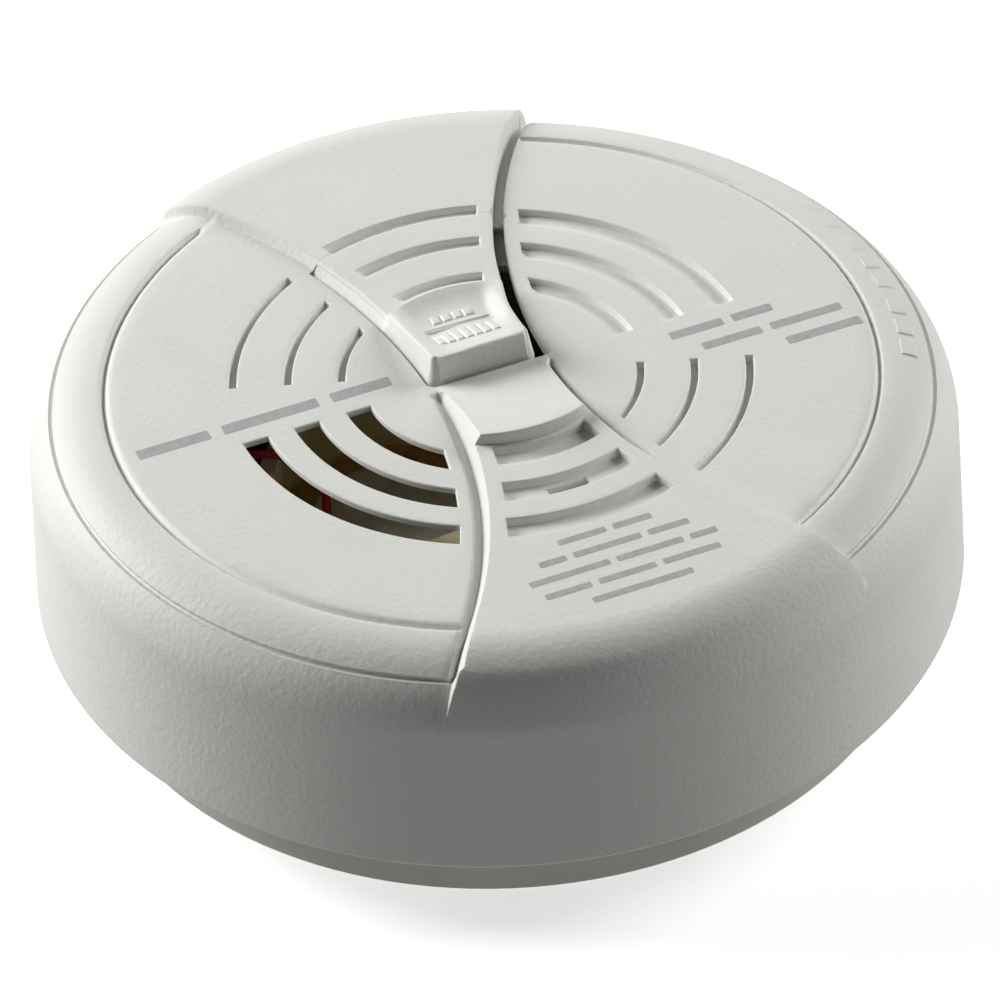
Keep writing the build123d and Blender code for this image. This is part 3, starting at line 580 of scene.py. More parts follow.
def opening_outline(left_radius, left_centre, right_radius, right_centre, rear, front, corner):
    """The outline of the button or of its opening, counterclockwise: two side arcs, a rear arc
    and a straight front."""

    def side_x(centre, radius, y, sign):
        return centre + sign * sqrt(radius**2 - y * y)

    def meets(centre, radius):
        x = (rear**2 + centre**2 - radius**2) / (2 * centre)
        return x, sqrt(rear**2 - x * x)

    right_top, left_top = meets(right_centre, right_radius), meets(left_centre, left_radius)
    points = [(side_x(left_centre, left_radius, front, 1), front)]
    points += [(side_x(right_centre, right_radius, front, -1), front)]
    points += [
        (side_x(right_centre, right_radius, y, -1), y)
        for y in np.linspace(front, right_top[1], 50)[4:]
    ]
    a, b = atan2(right_top[1], right_top[0]), atan2(left_top[1], left_top[0])
    points += [polar(rear, t) for t in np.linspace(a, b, 44)[1:]]
    points += [
        (side_x(left_centre, left_radius, y, 1), y)
        for y in np.linspace(left_top[1], front, 50)[1:-4]
    ]
    radii = [corner, corner] + [0] * (len(points) - 2)
    outline = rounded(points, radii)
    dense = []
    for (ax, ay), (bx, by) in zip(outline, outline[1:] + outline[:1]):
        count = ceil(hypot(bx - ax, by - ay) / 0.5)
        dense += [(ax + (bx - ax) * k / count, ay + (by - ay) * k / count) for k in range(count)]
    return dense


opening = opening_outline(
    OPENING_LEFT_RADIUS, OPENING_LEFT_CENTRE, BORDER_RADIUS - OPENING_LIP, BORDER_CENTRE,
    OPENING_REAR, OPENING_FRONT, corner=1.6,
)


def window_loop(grow):
    """The drawer's window, unrolled."""
    top, bottom = WINDOW_TOP + grow, WINDOW_BOTTOM - grow
    s_top, s_bottom = (
        float(np.interp(-z, -sector_profile.z, sector_profile.s)) for z in (top, bottom)
    )
    half = np.arcsin((WINDOW_HALF_WIDTH + grow) / (RIM_RADIUS - 0.5))
    angles = np.linspace(pi / 2 - half, pi / 2 + half, 60)
    heights = np.linspace(s_top, s_bottom, 16)
    loop = [polar(s_top, a) for a in angles]
    loop += [polar(s, angles[-1]) for s in heights[1:-1]]
    loop += [polar(s_bottom, a) for a in angles[::-1]]
    return loop + [polar(s, angles[0]) for s in heights[::-1][1:-1]]


def light_window_loop():
    x0, x1, r0, r1 = LIGHT_WINDOW
    low = [(x, -sqrt(r1**2 - x * x)) for x in np.linspace(x0, x1, 12)]
    high = [(x, -sqrt(r0**2 - x * x)) for x in np.linspace(x1, x0, 12)]
    return low + high


def cover_lines():
    """Every crease of the cover in the unrolled plan, as (points, closed)."""
    lines = [line for slot in cover_slots for line in slot.loops()]
    lower = np.concatenate([densify(-0.9, -2.5, 0.3)[:-1], densify(-2.5, -66.0)])
    upper = densify(36.0, 66.0)
    bevel_shifts = np.linspace(-BEVEL_HALF_WIDTH, BEVEL_HALF_WIDTH, 7)
    for side, y, distances in (
        (-1, lower, (LEFT_APRON, LEFT_APRON / 2, 0)),
        (1, lower, (RIGHT_LIP, 0)),
        (-1, upper, [bevel_centre(upper) + shift for shift in bevel_shifts]),
        (1, upper, PETAL_EDGE_SECTION[0] + TROUGH_SECTION[0][2:]),
    ):
        lines += [(border_line(side, into, y), False) for into in distances]
    for shift in (-0.2, 0, 0.2):
        lines += [(ridge_line(side, lower, shift), False) for side in (-1, 1)]
    for offset in PAD_EDGE_SECTION[0]:
        lines.append((ring_line(PAD_RADIUS + offset, 237, 305, 0.6), False))
    for start, end in ((-62, 70), (110, 245)):      # directions that the two sectors span
        rings = [S_OUTER + sign * d for sign in (-1, 1) for d in OUTER_GROOVE_SECTION[0]]
        rings += [S_INNER + offset for offset in INNER_GROOVE_SECTION[0]]
        lines += [(ring_line(s, start, end), False) for s in rings]
    for middle in RING_MARKS:
        for grow in MARK_SECTION[0]:
            lines.append((ring_mark_loop(middle, grow), True))
    loops = [opening, offset_loop(opening, 0.15), offset_loop(opening, 0.5)]
    loops += [window_loop(0), window_loop(0.6), light_window_loop()]
    return lines + [(loop, True) for loop in loops]


def polar_points(step):
    """Points in staggered rings over the flat face."""
    points = [(0.0, 0.0)]
    for s in np.arange(1.5, S_FLAT - 0.6, step):
        count = max(6, int(2 * pi * s / step))
        stagger = 0.5 * (int(s / step) % 2)
        points += [polar(s, 2 * pi * (k + stagger) / count) for k in range(count)]
    return points


def shoulder_rings(fine, coarse):
    """Ring distances from the flat face to the rim: a fine step, then a count down the wall."""
    fine_rings = np.arange(S_FLAT, S_SHOULDER + 2, fine)
    wall_rings = np.linspace(S_SHOULDER + 2 + fine, S_WALL_END, coarse)
    rim_rings = np.linspace(S_WALL_END, S_RIM, 5)[1:]
    return list(fine_rings) + list(wall_rings) + list(rim_rings)


def clear_of(points, lines, gap):
    """The points that lie clear of every line, so that no sliver triangles form."""
    cells = {}
    for line, _ in lines:
        for x, y in line:
            cells.setdefault((int(x // gap), int(y // gap)), []).append((x, y))
    kept = []
    for x, y in points:
        i, j = int(x // gap), int(y // gap)
        near = (
            q for a in (i - 1, i, i + 1) for b in (j - 1, j, j + 1) for q in cells.get((a, b), [])
        )
        if all((x - q[0]) ** 2 + (y - q[1]) ** 2 > gap * gap for q in near):
            kept.append((x, y))
    return kept


OUTER_MERGE, INNER_MERGE = 1e-4, 1e-5       # plan points closer than this become one


def triangulate(points, lines):
    """Triangles through the points that keep every line as edges."""
    verts, edges = list(points), []
    for line, closed in lines:
        first = len(verts)
        verts += [tuple(p) for p in line]
        edges += [(i, i + 1) for i in range(first, len(verts) - 1)]
        if closed:
            edges.append((len(verts) - 1, first))
    verts = [Vector(p) for p in verts]
    out, _, tris, _, _, _ = delaunay_2d_cdt(verts, edges, [], 0, OUTER_MERGE, False)
    return np.array([tuple(p) for p in out]), np.array(tris)


def boundary_edges(tris):
    """Directed edges that belong to one triangle only."""
    edges = np.concatenate([tris[:, [0, 1]], tris[:, [1, 2]], tris[:, [2, 0]]])
    undirected = np.sort(edges, axis=1)
    _, index, count = np.unique(undirected, axis=0, return_index=True, return_counts=True)
    return edges[index[count == 1]]


def plan_area(plan, tris):
    """Twice the area of every triangle, negative where it faces down."""
    a, b, c = (plan[tris[:, k]] for k in range(3))
    return (b[:, 0] - a[:, 0]) * (c[:, 1] - a[:, 1]) - (b[:, 1] - a[:, 1]) * (c[:, 0] - a[:, 0])


def closed_part(plan, tris, removed):
    """The triangles, all counterclockwise, without those where the plan is open."""
    tris = np.where((plan_area(plan, tris) < 0)[:, None], tris[:, ::-1], tris)
    return tris[~removed(*plan[tris].mean(axis=1).T)]


SHARP_DEGREES = 32
NORMAL_WEIGHT = 60
NO_AREA = 1e-4                      # a sliver on a straight stretch of an outline has less


def new_object(name, data):
    obj = bpy.data.objects.new(name, data)
    bpy.context.scene.collection.objects.link(obj)
    return obj


def make_object(name, points, faces, weighted=True):
    """A mesh object in the row frame from millimetre points measured from the face."""
    mesh = bpy.data.meshes.new(name)
    used = sorted({int(i) for face in faces for i in face})
    number = {old: new for new, old in enumerate(used)}
    lifted = (np.array(points, float)[used] + np.array([0, 0, FACE_Z])) * MM
    mesh.from_pydata([tuple(p) for p in lifted], [], [[number[int(i)] for i in f] for f in faces])
    mesh.validate()
    mesh.polygons.foreach_set("use_smooth", [True] * len(mesh.polygons))
    mesh.set_sharp_from_angle(angle=radians(SHARP_DEGREES))
    obj = new_object(name, mesh)
    if weighted:
        modifier = obj.modifiers.new("weighted", "WEIGHTED_NORMAL")
        modifier.keep_sharp = True
        modifier.weight = NORMAL_WEIGHT
    return obj


def shell(name, points, lines, inner_points, surface, underside, removed):
    """A closed shell: the outer skin, an inner skin on the same outlines, and walls between.
    removed says which places of the plan are open."""
    plan, tris = triangulate(points, lines)
    tris = closed_part(plan, tris, removed)
    used = np.unique(tris)
    renumber = -np.ones(len(plan), int)
    renumber[used] = np.arange(len(used))
    plan, tris = plan[used], renumber[tris]
    edges = boundary_edges(tris)
    rim = np.unique(edges)
    number = {v: i for i, v in enumerate(rim)}
    verts = [Vector(plan[v]) for v in rim] + [Vector(p) for p in inner_points]
    inner_edges = [(number[a], number[b]) for a, b in edges]
    out, _, inner_tris, origin, _, _ = delaunay_2d_cdt(
        verts, inner_edges, [], 0, INNER_MERGE, True
    )
    place = {source: i for i, sources in enumerate(origin) for source in sources}
    inner_plan = np.array([tuple(p) for p in out])
    inner_tris = closed_part(inner_plan, np.array(inner_tris), removed)
    inner_tris = inner_tris[plan_area(inner_plan, inner_tris) > NO_AREA]
    offset = len(plan)
    walls = [(b, a, offset + place[number[a]], offset + place[number[b]]) for a, b in edges]
    faces = [tuple(t) for t in tris] + [tuple(t[::-1] + offset) for t in inner_tris] + walls
    return make_object(name, np.concatenate([surface(plan), underside(inner_plan)]), faces)


def circle_points(radius, count):
    return [polar(radius, 2 * pi * k / count) for k in range(count)]


def cover_removed(x, y):
    """True where the cover is open, or past its rim."""
    gone = inside_polygon(x, y, opening)
    gone |= inside_polygon(x, y, window_loop(0))
    gone |= inside_polygon(x, y, light_window_loop())
    gone |= np.hypot(x, y) > S_RIM
    for slot in sound_slots:
        gone |= slot.inside(x, y)
    return gone


def build_cover():
    lines = cover_lines()
    points = polar_points(2.6)
    for s in shoulder_rings(0.75, 9)[:-1]:
        points += circle_points(s, 360)
    points = clear_of(points, lines, 0.45)
    lines.append((circle_points(S_RIM, 360), True))
    coarse = polar_points(3.5)
    for s in shoulder_rings(1.5, 5)[:-4]:
        coarse += circle_points(s, 180)
    return shell(
        "cover_shell", points, lines, coarse, cover_surface, cover_underside, cover_removed
    )


# ---------------- the test button
BUTTON_FRONT = 0.6
BUTTON_REAR = 37.95
BUTTON_FOOT = -2.0                  # its lower edge, below the face
SIDE_START = BUTTON_FOOT + 1.4      # its sides are upright below this height
BLOCK_TOP = 4.8
BLOCK_REAR = 19.5                   # radius of the rim behind the thumb scoop
BLOCK_REAR_HEIGHT = 2.1
PETAL_START = (0, 0.4, 0.8)         # past that rim the button drops to the height of the bands
BUTTON_LEFT_CENTRE, BUTTON_LEFT_RADIUS = -114.65, 105.0
BUTTON_RIGHT_CENTRE, BUTTON_RIGHT_RADIUS = 94.9, 87.0
LEFT_RUN, LEFT_BEND = 1.3, 0.8      # the sloping left side, and the round above it
RIGHT_RUN, RIGHT_BEND = 0.15, 0.35
FRONT_RUN, FRONT_SPAN = 0.12, (-8.1, 6.4)           # the steep front, between its corners
REAR_RUN, REAR_BEND = 0.03, 0.04
SIDE_SHARES = (0, 0.08, 0.25, 0.5, 0.75, 1.0)       # lines that the round's mesh follows
SCOOP_SECTION = [                   # distance from the front, and height of the scoop's floor
    [1.4, 2.5, 5, 7, 9, 11, 13, 14.5, 16, 17.3, 18.3, 19.0, BLOCK_REAR],
    [4.75, 4.35, 3.3, 2.6, 2.0, 1.5, 1.15, 1.02, 1.05, 1.3, 1.65, 1.95, BLOCK_REAR_HEIGHT],
]
BUTTON_MARK_SECTION = [[-0.28, -0.12, 0.0, 0.12], [0.32, 0.28, 0.1, 0]]
button_outline = opening_outline(
    BUTTON_LEFT_RADIUS, BUTTON_LEFT_CENTRE, BUTTON_RIGHT_RADIUS, BUTTON_RIGHT_CENTRE,
    BUTTON_REAR, BUTTON_FRONT, corner=1.4,
)
button_edge = np.array(button_outline)


def button_sides(edge):
    """For each point of the button's outline, the run of its sloping side and the round above."""
    x, y = edge.T
    left = x < -3
    front = (y < 1.2) & (x > FRONT_SPAN[0]) & (x < FRONT_SPAN[1])
    rear = np.hypot(x, y) > BUTTON_REAR - 0.4
    block = 1 - ease((y - 9) / 11)
    run = np.where(left, LEFT_RUN - 0.6 * block, RIGHT_RUN + 0.75 * block)
    bend = np.where(left, LEFT_BEND - 0.4 * block, RIGHT_BEND + 0.35 * block)
    run = np.where(rear, REAR_RUN, np.where(front, FRONT_RUN, run))
    bend = np.where(rear, REAR_BEND, bend)
    return run, bend


button_run, button_bend = button_sides(button_edge)
button_slots = [
    Slot(ring, *petal_ends, 1.2, inner_slope=1.2, end_slope=1.0) for ring in PETAL_RINGS
]


def row_of_marks(y_low, y_high, x_low, x_high, count, gap):
    """Plain raised blocks in a row, as (x low, x high, y low, y high)."""
    width = (x_high - x_low - gap * (count - 1)) / count
    return [
        (x_low + k * (width + gap), x_low + k * (width + gap) + width, y_low, y_high)
        for k in range(count)
    ]


button_marks = (
    row_of_marks(12.8, 14.6, -4.0, 2.6, 4, 0.5)
    + row_of_marks(11.0, 11.5, -6.3, 4.4, 1, 0)
    + row_of_marks(5.4, 9.4, -5.9, 4.1, 7, 0.42)
)


def mark_outside(mark, x, y):
    """How far points lie outside a raised block, below zero inside it."""
    x0, x1, y0, y1 = mark
    return np.maximum(np.maximum(x0 - x, x - x1), np.maximum(y0 - y, y - y1))


def button_top(x, y):
    """The button's upper face before its sides are rounded: block, scoop and petal."""
    r = np.hypot(x, y)
    back = np.where(y > 8, r, y)
    rim = np.interp(y, [1.5, 18.5], [BLOCK_TOP, BLOCK_REAR_HEIGHT])
    floor = np.interp(back, *SCOOP_SECTION)
    aside = np.minimum(x - button_left_edge(y) - 1.7, button_right_edge(y) - x - 1.2)
    scoop = ease(aside / 3.2)
    top = rim + (np.minimum(floor, rim) - rim) * scoop
    petal = ease((r - BLOCK_REAR) / PETAL_START[-1])
    return top + (BAND_RISE - top) * petal


def button_left_edge(y):
    return BUTTON_LEFT_CENTRE + np.sqrt(BUTTON_LEFT_RADIUS**2 - y * y)


def button_right_edge(y):
    return BUTTON_RIGHT_CENTRE - np.sqrt(BUTTON_RIGHT_RADIUS**2 - y * y)


def side_height(deep, run, bend, top):
    """The height at a depth inside a sloping side that rounds over into the top."""
    past = np.clip(bend - (deep - run), 0, bend)
    z = top - bend + np.sqrt(np.maximum(bend**2 - past**2, 0))
    slope = SIDE_START + (top - bend - SIDE_START) * np.clip(deep / run, 0, 1)
    return np.where(deep < run, slope, z)


def button_surface(plan):
    """Points on the button. Depths inside its sides are measured from the nearest point of the
    outline, and behind the block from the two side arcs too, so that its rear stays square."""
    x, y = plan.T
    nearest = np.array(
        [np.argmin((button_edge[:, 0] - a) ** 2 + (button_edge[:, 1] - b) ** 2) for a, b in plan]
    )
    ahead = np.roll(button_edge, -1, 0) - np.roll(button_edge, 1, 0)
    ahead /= np.linalg.norm(ahead, axis=1)[:, None]
    inward = np.column_stack([-ahead[:, 1], ahead[:, 0]])
    deep = ((plan - button_edge[nearest]) * inward[nearest]).sum(axis=1)
    deep = np.maximum(deep, 0)
    run, bend = button_run[nearest], button_bend[nearest]
    top = button_top(x, y)
    z = side_height(deep, run, bend, top)
    left_deep = (x - button_left_edge(y)) * np.sqrt(1 - (y / BUTTON_LEFT_RADIUS) ** 2)
    right_deep = (button_right_edge(y) - x) * np.sqrt(1 - (y / BUTTON_RIGHT_RADIUS) ** 2)
    behind = y > 30
    z = np.where(behind, np.minimum(z, side_height(left_deep, LEFT_RUN, LEFT_BEND, top)), z)
    z = np.where(behind, np.minimum(z, side_height(right_deep, RIGHT_RUN, RIGHT_BEND, top)), z)
    r = np.hypot(x, y)
    for slot in button_slots:
        z = z - slot.depth(x, y, r)
    for mark in button_marks:
        z = z + np.interp(mark_outside(mark, x, y), *BUTTON_MARK_SECTION)
    return np.column_stack([x, y, z])


def button_underside(plan):
    return np.column_stack([plan, np.full(len(plan), BUTTON_FOOT)])


def button_removed(x, y):
    return ~inside_polygon(x, y, button_outline)


def button_lines():
    """Every crease of the button, as (points, closed)."""
    lines = []
    near_rear = np.linspace(31.0, 37.7, 24)
    for share in SIDE_SHARES:
        lines.append((offset_loop(button_outline, -(button_run + share * button_bend)), True))
    for share in SIDE_SHARES:
        x = button_left_edge(near_rear) + 1.06 * (LEFT_RUN + share * LEFT_BEND)
        kept = np.hypot(x, near_rear) < BUTTON_REAR - 0.15
        lines.append((np.column_stack([x, near_rear])[kept], False))
    for x0, x1, y0, y1 in button_marks:
        for grow in BUTTON_MARK_SECTION[0]:
            a, b, c, d = x0 - grow, x1 + grow, y0 - grow, y1 + grow
            lines.append(([(a, c), (b, c), (b, d), (a, d)], True))
    for slot in button_slots:
        lines += slot.loops()
    for past in PETAL_START:
        lines.append((ring_line(BLOCK_REAR + past, 62, 122, 0.5), False))
    return lines + [(button_outline, True)]


def build_button():
    lines = button_lines()
    fine = [(x, y) for x in np.arange(-20, 20, 0.55) for y in np.arange(0.7, 20.5, 0.55)]
    coarse = [(x, y) for x in np.arange(-20, 20, 1.1) for y in np.arange(20.5, 38, 1.1)]
    points = clear_of(fine + coarse, lines, 0.3)
    inner = [(x, y) for x in np.arange(-16, 16, 3.0) for y in np.arange(2.0, 37, 3.0)]
    return shell(
        "button_shell", points, lines, inner, button_surface, button_underside, button_removed
    )


# ---------------- ribs inside the cover, and print
BOSS_ANGLES = (30.0, 150.0, 270.0)
BOSS_CIRCLE = 44.0
# Sections as radius and height, each from the inside outwards.
BOSS_SECTION = [
    (0.02, -12.0), (1.5, -12.0), (1.5, -33.8), (1.7, -34.0), (3.4, -34.0), (3.6, -33.8),
    (3.6, -3.2), (4.2, -WALL), (0.02, -WALL),
]
LEDGE_SECTION = [(30.5, -3.6), (30.5, -4.8), (39.2, -4.8), (39.2, -3.6)]
RIB_SECTION = [
    (39.0, -WALL), (39.0, -11.7), (39.3, -12.0), (40.3, -12.0), (40.6, -11.7), (40.6, -WALL),
]


def swept(section, centre, start, end, count):
    """Points and faces of a section turned about an upright axis, closed all round."""
    full = abs(end - start) >= 360
    angles = np.radians(np.linspace(start, end, count + (0 if full else 1), endpoint=not full))
    points = [
        (centre[0] + r * cos(a), centre[1] + r * sin(a), z) for a in angles for r, z in section
    ]
    size, faces = len(section), []
    for i in range(count):
        j = (i + 1) % len(angles)
        for k in range(size):
            n = (k + 1) % size
            faces.append((i * size + k, j * size + k, j * size + n, i * size + n))
    if not full:
        faces.append(tuple(range(size)))
        faces.append(tuple(range(len(points) - 1, len(points) - 1 - size, -1)))
    return points, faces


def build_ribs():
    """The rib behind the button, the ledge in front of it and the three screw bosses."""
    points, faces = swept(RIB_SECTION, (0, 0), 50, 130, 60)
    parts = [swept(LEDGE_SECTION, (0, 0), 62, 82, 20)]
    for angle in BOSS_ANGLES:
        parts.append(swept(BOSS_SECTION, polar(BOSS_CIRCLE, radians(angle)), 0, 360, 40))
    for more, more_faces in parts:
        faces += [tuple(i + len(points) for i in face) for face in more_faces]
        points += more
    return make_object("cover_ribs", points, faces)


BAR_HALF_HEIGHT = 0.24              # of a printed bar, as a share of the line's height
PRINT_THICKNESS = 0.03
PRINT_SUNK = 0.1


def line_of_print(x_low, x_high, y_low, y_high, letters, gap, height=0.0):
    """Plain printed bars, one for each word, as (x low, x high, y low, y high, height)."""
    pitch = (x_high - x_low - gap * (len(letters) - 1)) / sum(letters)
    middle, half = (y_low + y_high) / 2, (y_high - y_low) * BAR_HALF_HEIGHT
    bars, x = [], x_low
    for count in letters:
        bars.append((x, x + count * pitch, middle - half, middle + half, height))
        x += count * pitch + gap
    return bars


PRINT = (
    line_of_print(-55.8, -14.7, 2.4, 6.9, (6, 8, 5), 2.2)
    + line_of_print(28.0, 45.0, -6.0, -2.3, (4, 3), 1.6)
    + line_of_print(31.5, 54.7, -10.3, -6.8, (5, 6), 1.6)
    + line_of_print(43.7, 56.0, -14.7, -11.0, (5,), 1.6)
)
BAND_LINES = [                      # half width and word lengths of each line on the lower band
    (7.5, (5, 4)), (12.0, (2, 5, 3)), (15.0, (6, 5, 2)), (14.0, (4, 5, 5)), (8.0, (6,)),
]
for row, (half, letters) in enumerate(BAND_LINES):
    high = -41.5 - 3.5 * row
    PRINT += line_of_print(-half, half, high - 2.6, high, letters, 1.2, BAND_RISE)


def build_print():
    """Bars a little above the face, closed below it."""
    points, faces = [], []
    for x0, x1, y0, y1, height in PRINT:
        outline = rounded([(x0, y0), (x1, y0), (x1, y1), (x0, y1)], [0.25] * 4, 0.1)
        first, count = len(points), len(outline)
        points += [(x, y, height - PRINT_SUNK) for x, y in outline]
        points += [(x, y, height + PRINT_THICKNESS) for x, y in outline]
        faces.append(tuple(first + count + k for k in range(count)))
        faces.append(tuple(first + count - 1 - k for k in range(count)))
        for k in range(count):
            n = (k + 1) % count
            faces.append((first + k, first + n, first + count + n, first + count + k))
    return make_object("cover_print", points, faces, weighted=False)


# ---------------- materials
SPECULAR = 0.4
SHINE_CHANGE = 0.06
GRAIN_SCALE = 1100


def colour_ramp(nodes, *stops):
    """A ramp between two stops, each a position and a colour."""
    ramp_node = nodes.new("ShaderNodeValToRGB")
    for element, (position, colour) in zip(ramp_node.color_ramp.elements, stops):
        element.position, element.color = position, (*colour, 1)
    return ramp_node


def noise(nodes, links, place, scale, detail):
    """A noise texture in the object's own coordinates."""
    texture = nodes.new("ShaderNodeTexNoise")
    texture.inputs["Scale"].default_value = scale
    texture.inputs["Detail"].default_value = detail
    links.new(place.outputs["Object"], texture.inputs["Vector"])
    return texture


def look(name, low, high, roughness, scale=90, grain=0.02, metallic=0.0, clear=0.0):
    """A moulded, drawn or printed surface: colour that drifts between two tones, a fine grain
    in the surface, and a shine that changes with it."""
    material = bpy.data.materials.new(name)
    material.use_nodes = True
    nodes, links = material.node_tree.nodes, material.node_tree.links
    shader = nodes["Principled BSDF"]
    shader.inputs["Metallic"].default_value = metallic
    shader.inputs["Specular IOR Level"].default_value = SPECULAR
    shader.inputs["Transmission Weight"].default_value = clear
    place = nodes.new("ShaderNodeTexCoord")
    cloud = noise(nodes, links, place, scale, 3)
    tones = colour_ramp(nodes, (0.35, low), (0.65, high))
    links.new(cloud.outputs["Fac"], tones.inputs["Fac"])
    links.new(tones.outputs["Color"], shader.inputs["Base Color"])
    shine = nodes.new("ShaderNodeMapRange")
    shine.inputs["To Min"].default_value = roughness - SHINE_CHANGE
    shine.inputs["To Max"].default_value = roughness + SHINE_CHANGE
    links.new(cloud.outputs["Fac"], shine.inputs["Value"])
    links.new(shine.outputs["Result"], shader.inputs["Roughness"])
    fine = noise(nodes, links, place, GRAIN_SCALE, 2)
    bump = nodes.new("ShaderNodeBump")
    bump.inputs["Strength"].default_value = 0.5
    bump.inputs["Distance"].default_value = grain * MM
    links.new(fine.outputs["Fac"], bump.inputs["Height"])
    links.new(bump.outputs["Normal"], shader.inputs["Normal"])
    return material


# For each of the record's material slots: the two tones, the roughness and anything special.
TONES = {
    "cover_plastic": ((0.762, 0.772, 0.727), (0.776, 0.786, 0.741), 0.52, {"grain": 0.16}),
    "housing_plastic": ((0.66, 0.66, 0.61), (0.70, 0.70, 0.655), 0.5, {"grain": 0.05}),
    "bracket_plastic": ((0.62, 0.615, 0.56), (0.66, 0.655, 0.60), 0.52, {"grain": 0.05}),
    "board_laminate": ((0.20, 0.10, 0.035), (0.28, 0.15, 0.055), 0.45, {"scale": 240}),
    "brass": ((0.60, 0.43, 0.17), (0.70, 0.53, 0.24), 0.34, {"scale": 300, "metallic": 1.0}),
    "ceramic": ((0.68, 0.66, 0.59), (0.75, 0.73, 0.66), 0.38, {"scale": 400}),
    "can_metal": ((0.52, 0.52, 0.51), (0.62, 0.62, 0.61), 0.33, {"scale": 500, "metallic": 1.0}),
    "tinned_metal": ((0.62, 0.61, 0.58), (0.72, 0.71, 0.67), 0.28, {"scale": 600, "metallic": 1.0}),
    "screw_steel": ((0.46, 0.45, 0.42), (0.58, 0.56, 0.53), 0.36, {"scale": 700, "metallic": 1.0}),
    "black_plastic": ((0.022, 0.022, 0.023), (0.034, 0.034, 0.035), 0.5, {}),
    "component_body": ((0.028, 0.027, 0.026), (0.05, 0.048, 0.045), 0.55, {"scale": 500}),
    "capacitor_sleeve": ((0.02, 0.026, 0.055), (0.032, 0.04, 0.075), 0.3, {"scale": 200}),
    "filter_plastic": ((0.62, 0.53, 0.33), (0.68, 0.59, 0.39), 0.55, {}),
    "lamp_green": ((0.08, 0.42, 0.12), (0.12, 0.50, 0.16), 0.15, {"clear": 0.6, "grain": 0.0}),
    "lamp_red": ((0.50, 0.03, 0.02), (0.60, 0.05, 0.03), 0.15, {"clear": 0.6, "grain": 0.0}),
    "battery_jacket": ((0.06, 0.065, 0.07), (0.09, 0.095, 0.10), 0.3, {"scale": 120}),
    "insulation_red": ((0.45, 0.02, 0.015), (0.55, 0.035, 0.025), 0.38, {"scale": 300}),
    "insulation_black": ((0.018, 0.018, 0.018), (0.03, 0.03, 0.03), 0.38, {"scale": 300}),
}
LOOKS = {
    slot: look(slot + "_look", low, high, roughness, **more)
    for slot, (low, high, roughness, more) in TONES.items()
}
ink = look("ink_look", (0.40, 0.41, 0.41), (0.46, 0.47, 0.47), 0.6, scale=900)


def paint(obj, material):
    obj.data.materials.clear()
    obj.data.materials.append(material)


BROKEN_EDGE = 0.25


def soften_edges(obj):
    """Break the sharp edges of a CAD mesh, whose faces come in unjoined."""
    weld = obj.modifiers.new("weld", "WELD")
    weld.merge_threshold = 0.001 * MM
    bevel = obj.modifiers.new("bevel", "BEVEL")
    bevel.width = BROKEN_EDGE * MM
    bevel.segments = 2
    bevel.limit_method = "ANGLE"
    bevel.angle_limit = radians(40)
    bevel.use_clamp_overlap = True
    normals = obj.modifiers.new("weighted", "WEIGHTED_NORMAL")
    normals.keep_sharp = False


for part in frame["record"]["subparts"]:
    paint(NODES[part["node"]], LOOKS[part["material_slot"]])
for node in ("mounting_bracket", "battery_drawer"):
    soften_edges(NODES[node])

pieces = [
    (build_cover(), "alarm", "front_cover"),
    (build_button(), "button", "test_button"),
    (build_ribs(), "alarm", None),
    (build_print(), "alarm", None),
]
for piece, body, node in pieces:
    paint(piece, LOOKS["cover_plastic"])
    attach(piece, body)
    if node:
        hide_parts(node)
paint(bpy.data.objects["cover_print"], ink)


# ---------------- camera, lights and floor
def make_camera():
    """A long lens, looking 40 degrees down from the front left, rolled a little."""
    camera_data = bpy.data.cameras.new("camera")
    camera = new_object("camera", camera_data)
    camera_data.sensor_width = 36.0
    camera_data.lens = 252.0
    camera_data.clip_start, camera_data.clip_end = 0.05, 20.0
    camera.location = (-0.30198, -0.77071, 0.71598)
    target = Vector((0.00234, 0.00475, 0.01722))
    aim = (target - camera.location).to_track_quat("-Z", "Y").to_matrix().to_4x4()
    roll = Matrix.Rotation(radians(-2.758), 4, "Z")
    camera.matrix_world = Matrix.Translation(camera.location) @ aim @ roll
    bpy.context.scene.camera = camera


LIGHT_DISTANCE = 1.2
LIGHT_SIZE = 0.7


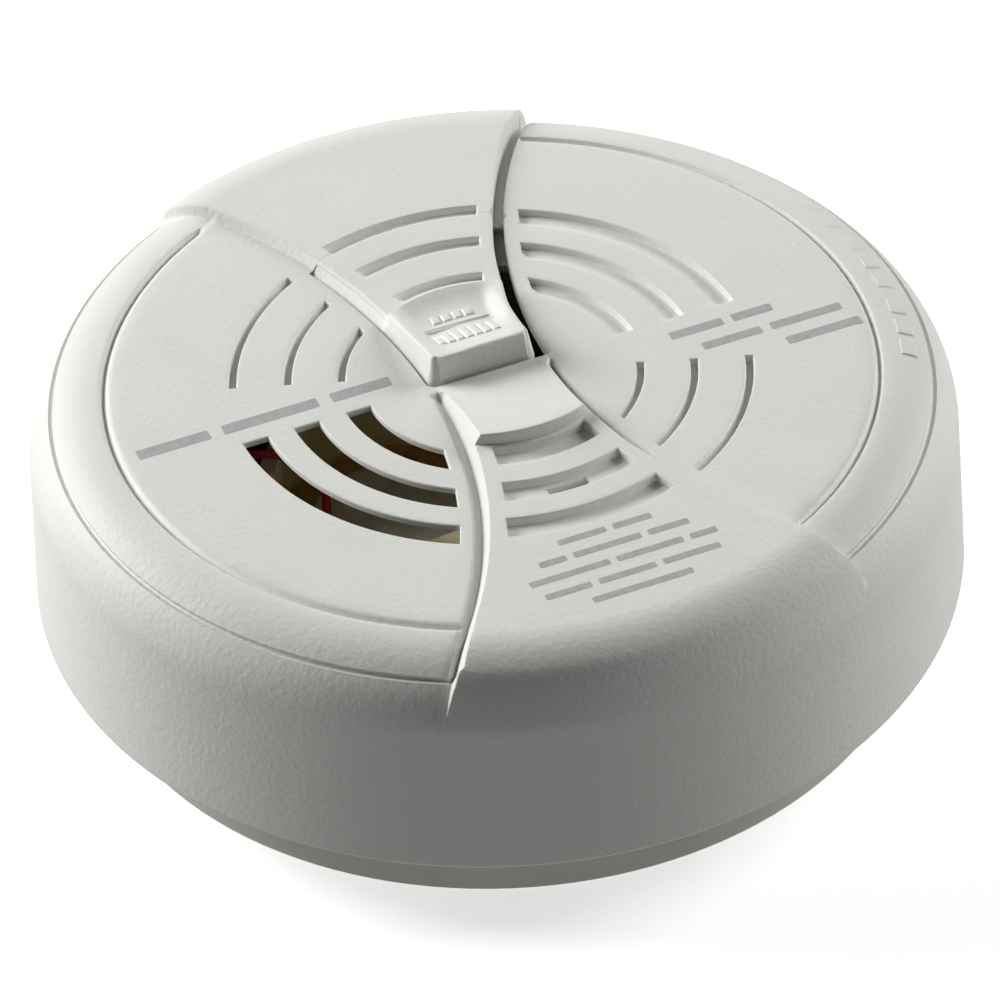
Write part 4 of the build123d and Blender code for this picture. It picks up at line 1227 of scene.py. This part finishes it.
def area_light(name, azimuth, elevation, power):
    """A square soft box aimed at the object. Azimuth is seen from above, from +X."""
    data = bpy.data.lights.new(name, "AREA")
    data.size = LIGHT_SIZE
    data.energy = power
    light = new_object(name, data)
    a, e = radians(azimuth), radians(elevation)
    place = Vector((cos(a) * cos(e), sin(a) * cos(e), sin(e))) * LIGHT_DISTANCE
    light.location = place
    light.rotation_euler = (-place).to_track_quat("-Z", "Y").to_euler()


def make_floor():
    """A pale floor that shows shadows but throws no light back at the object."""
    mesh = bpy.data.meshes.new("floor")
    half = 4.0
    corners = [(-half, -half, 0), (half, -half, 0), (half, half, 0), (-half, half, 0)]
    mesh.from_pydata(corners, [], [(0, 1, 2, 3)])
    floor = new_object("floor", mesh)
    floor.location.z = -0.0002
    material = bpy.data.materials.new("floor_look")
    material.use_nodes = True
    shader = material.node_tree.nodes["Principled BSDF"]
    shader.inputs["Base Color"].default_value = (0.9, 0.9, 0.9, 1)
    shader.inputs["Roughness"].default_value = 0.9
    shader.inputs["Emission Color"].default_value = (1, 1, 1, 1)
    shader.inputs["Emission Strength"].default_value = 0.6
    mesh.materials.append(material)
    floor.visible_diffuse = False
    floor.visible_glossy = False


def make_world(strength):
    """Soft light that comes mostly from below the horizon."""
    world = bpy.data.worlds.new("studio")
    world.use_nodes = True
    nodes, links = world.node_tree.nodes, world.node_tree.links
    place = nodes.new("ShaderNodeTexCoord")
    split = nodes.new("ShaderNodeSeparateXYZ")
    shade = colour_ramp(nodes, (0.40, (1, 1, 1)), (0.56, (0.06, 0.06, 0.06)))
    half = nodes.new("ShaderNodeMath")
    half.operation = "MULTIPLY_ADD"
    half.inputs[1].default_value = 0.5
    half.inputs[2].default_value = 0.5
    links.new(place.outputs["Generated"], split.inputs["Vector"])
    links.new(split.outputs["Z"], half.inputs[0])
    links.new(half.outputs["Value"], shade.inputs["Fac"])
    links.new(shade.outputs["Color"], nodes["Background"].inputs["Color"])
    nodes["Background"].inputs["Strength"].default_value = strength
    bpy.context.scene.world = world


make_camera()
area_light("key", azimuth=134, elevation=27, power=19.0)
area_light("fill", azimuth=-1, elevation=27, power=11.5)
make_floor()
make_world(0.45)
bpy.context.scene.view_settings.view_transform = "Standard"
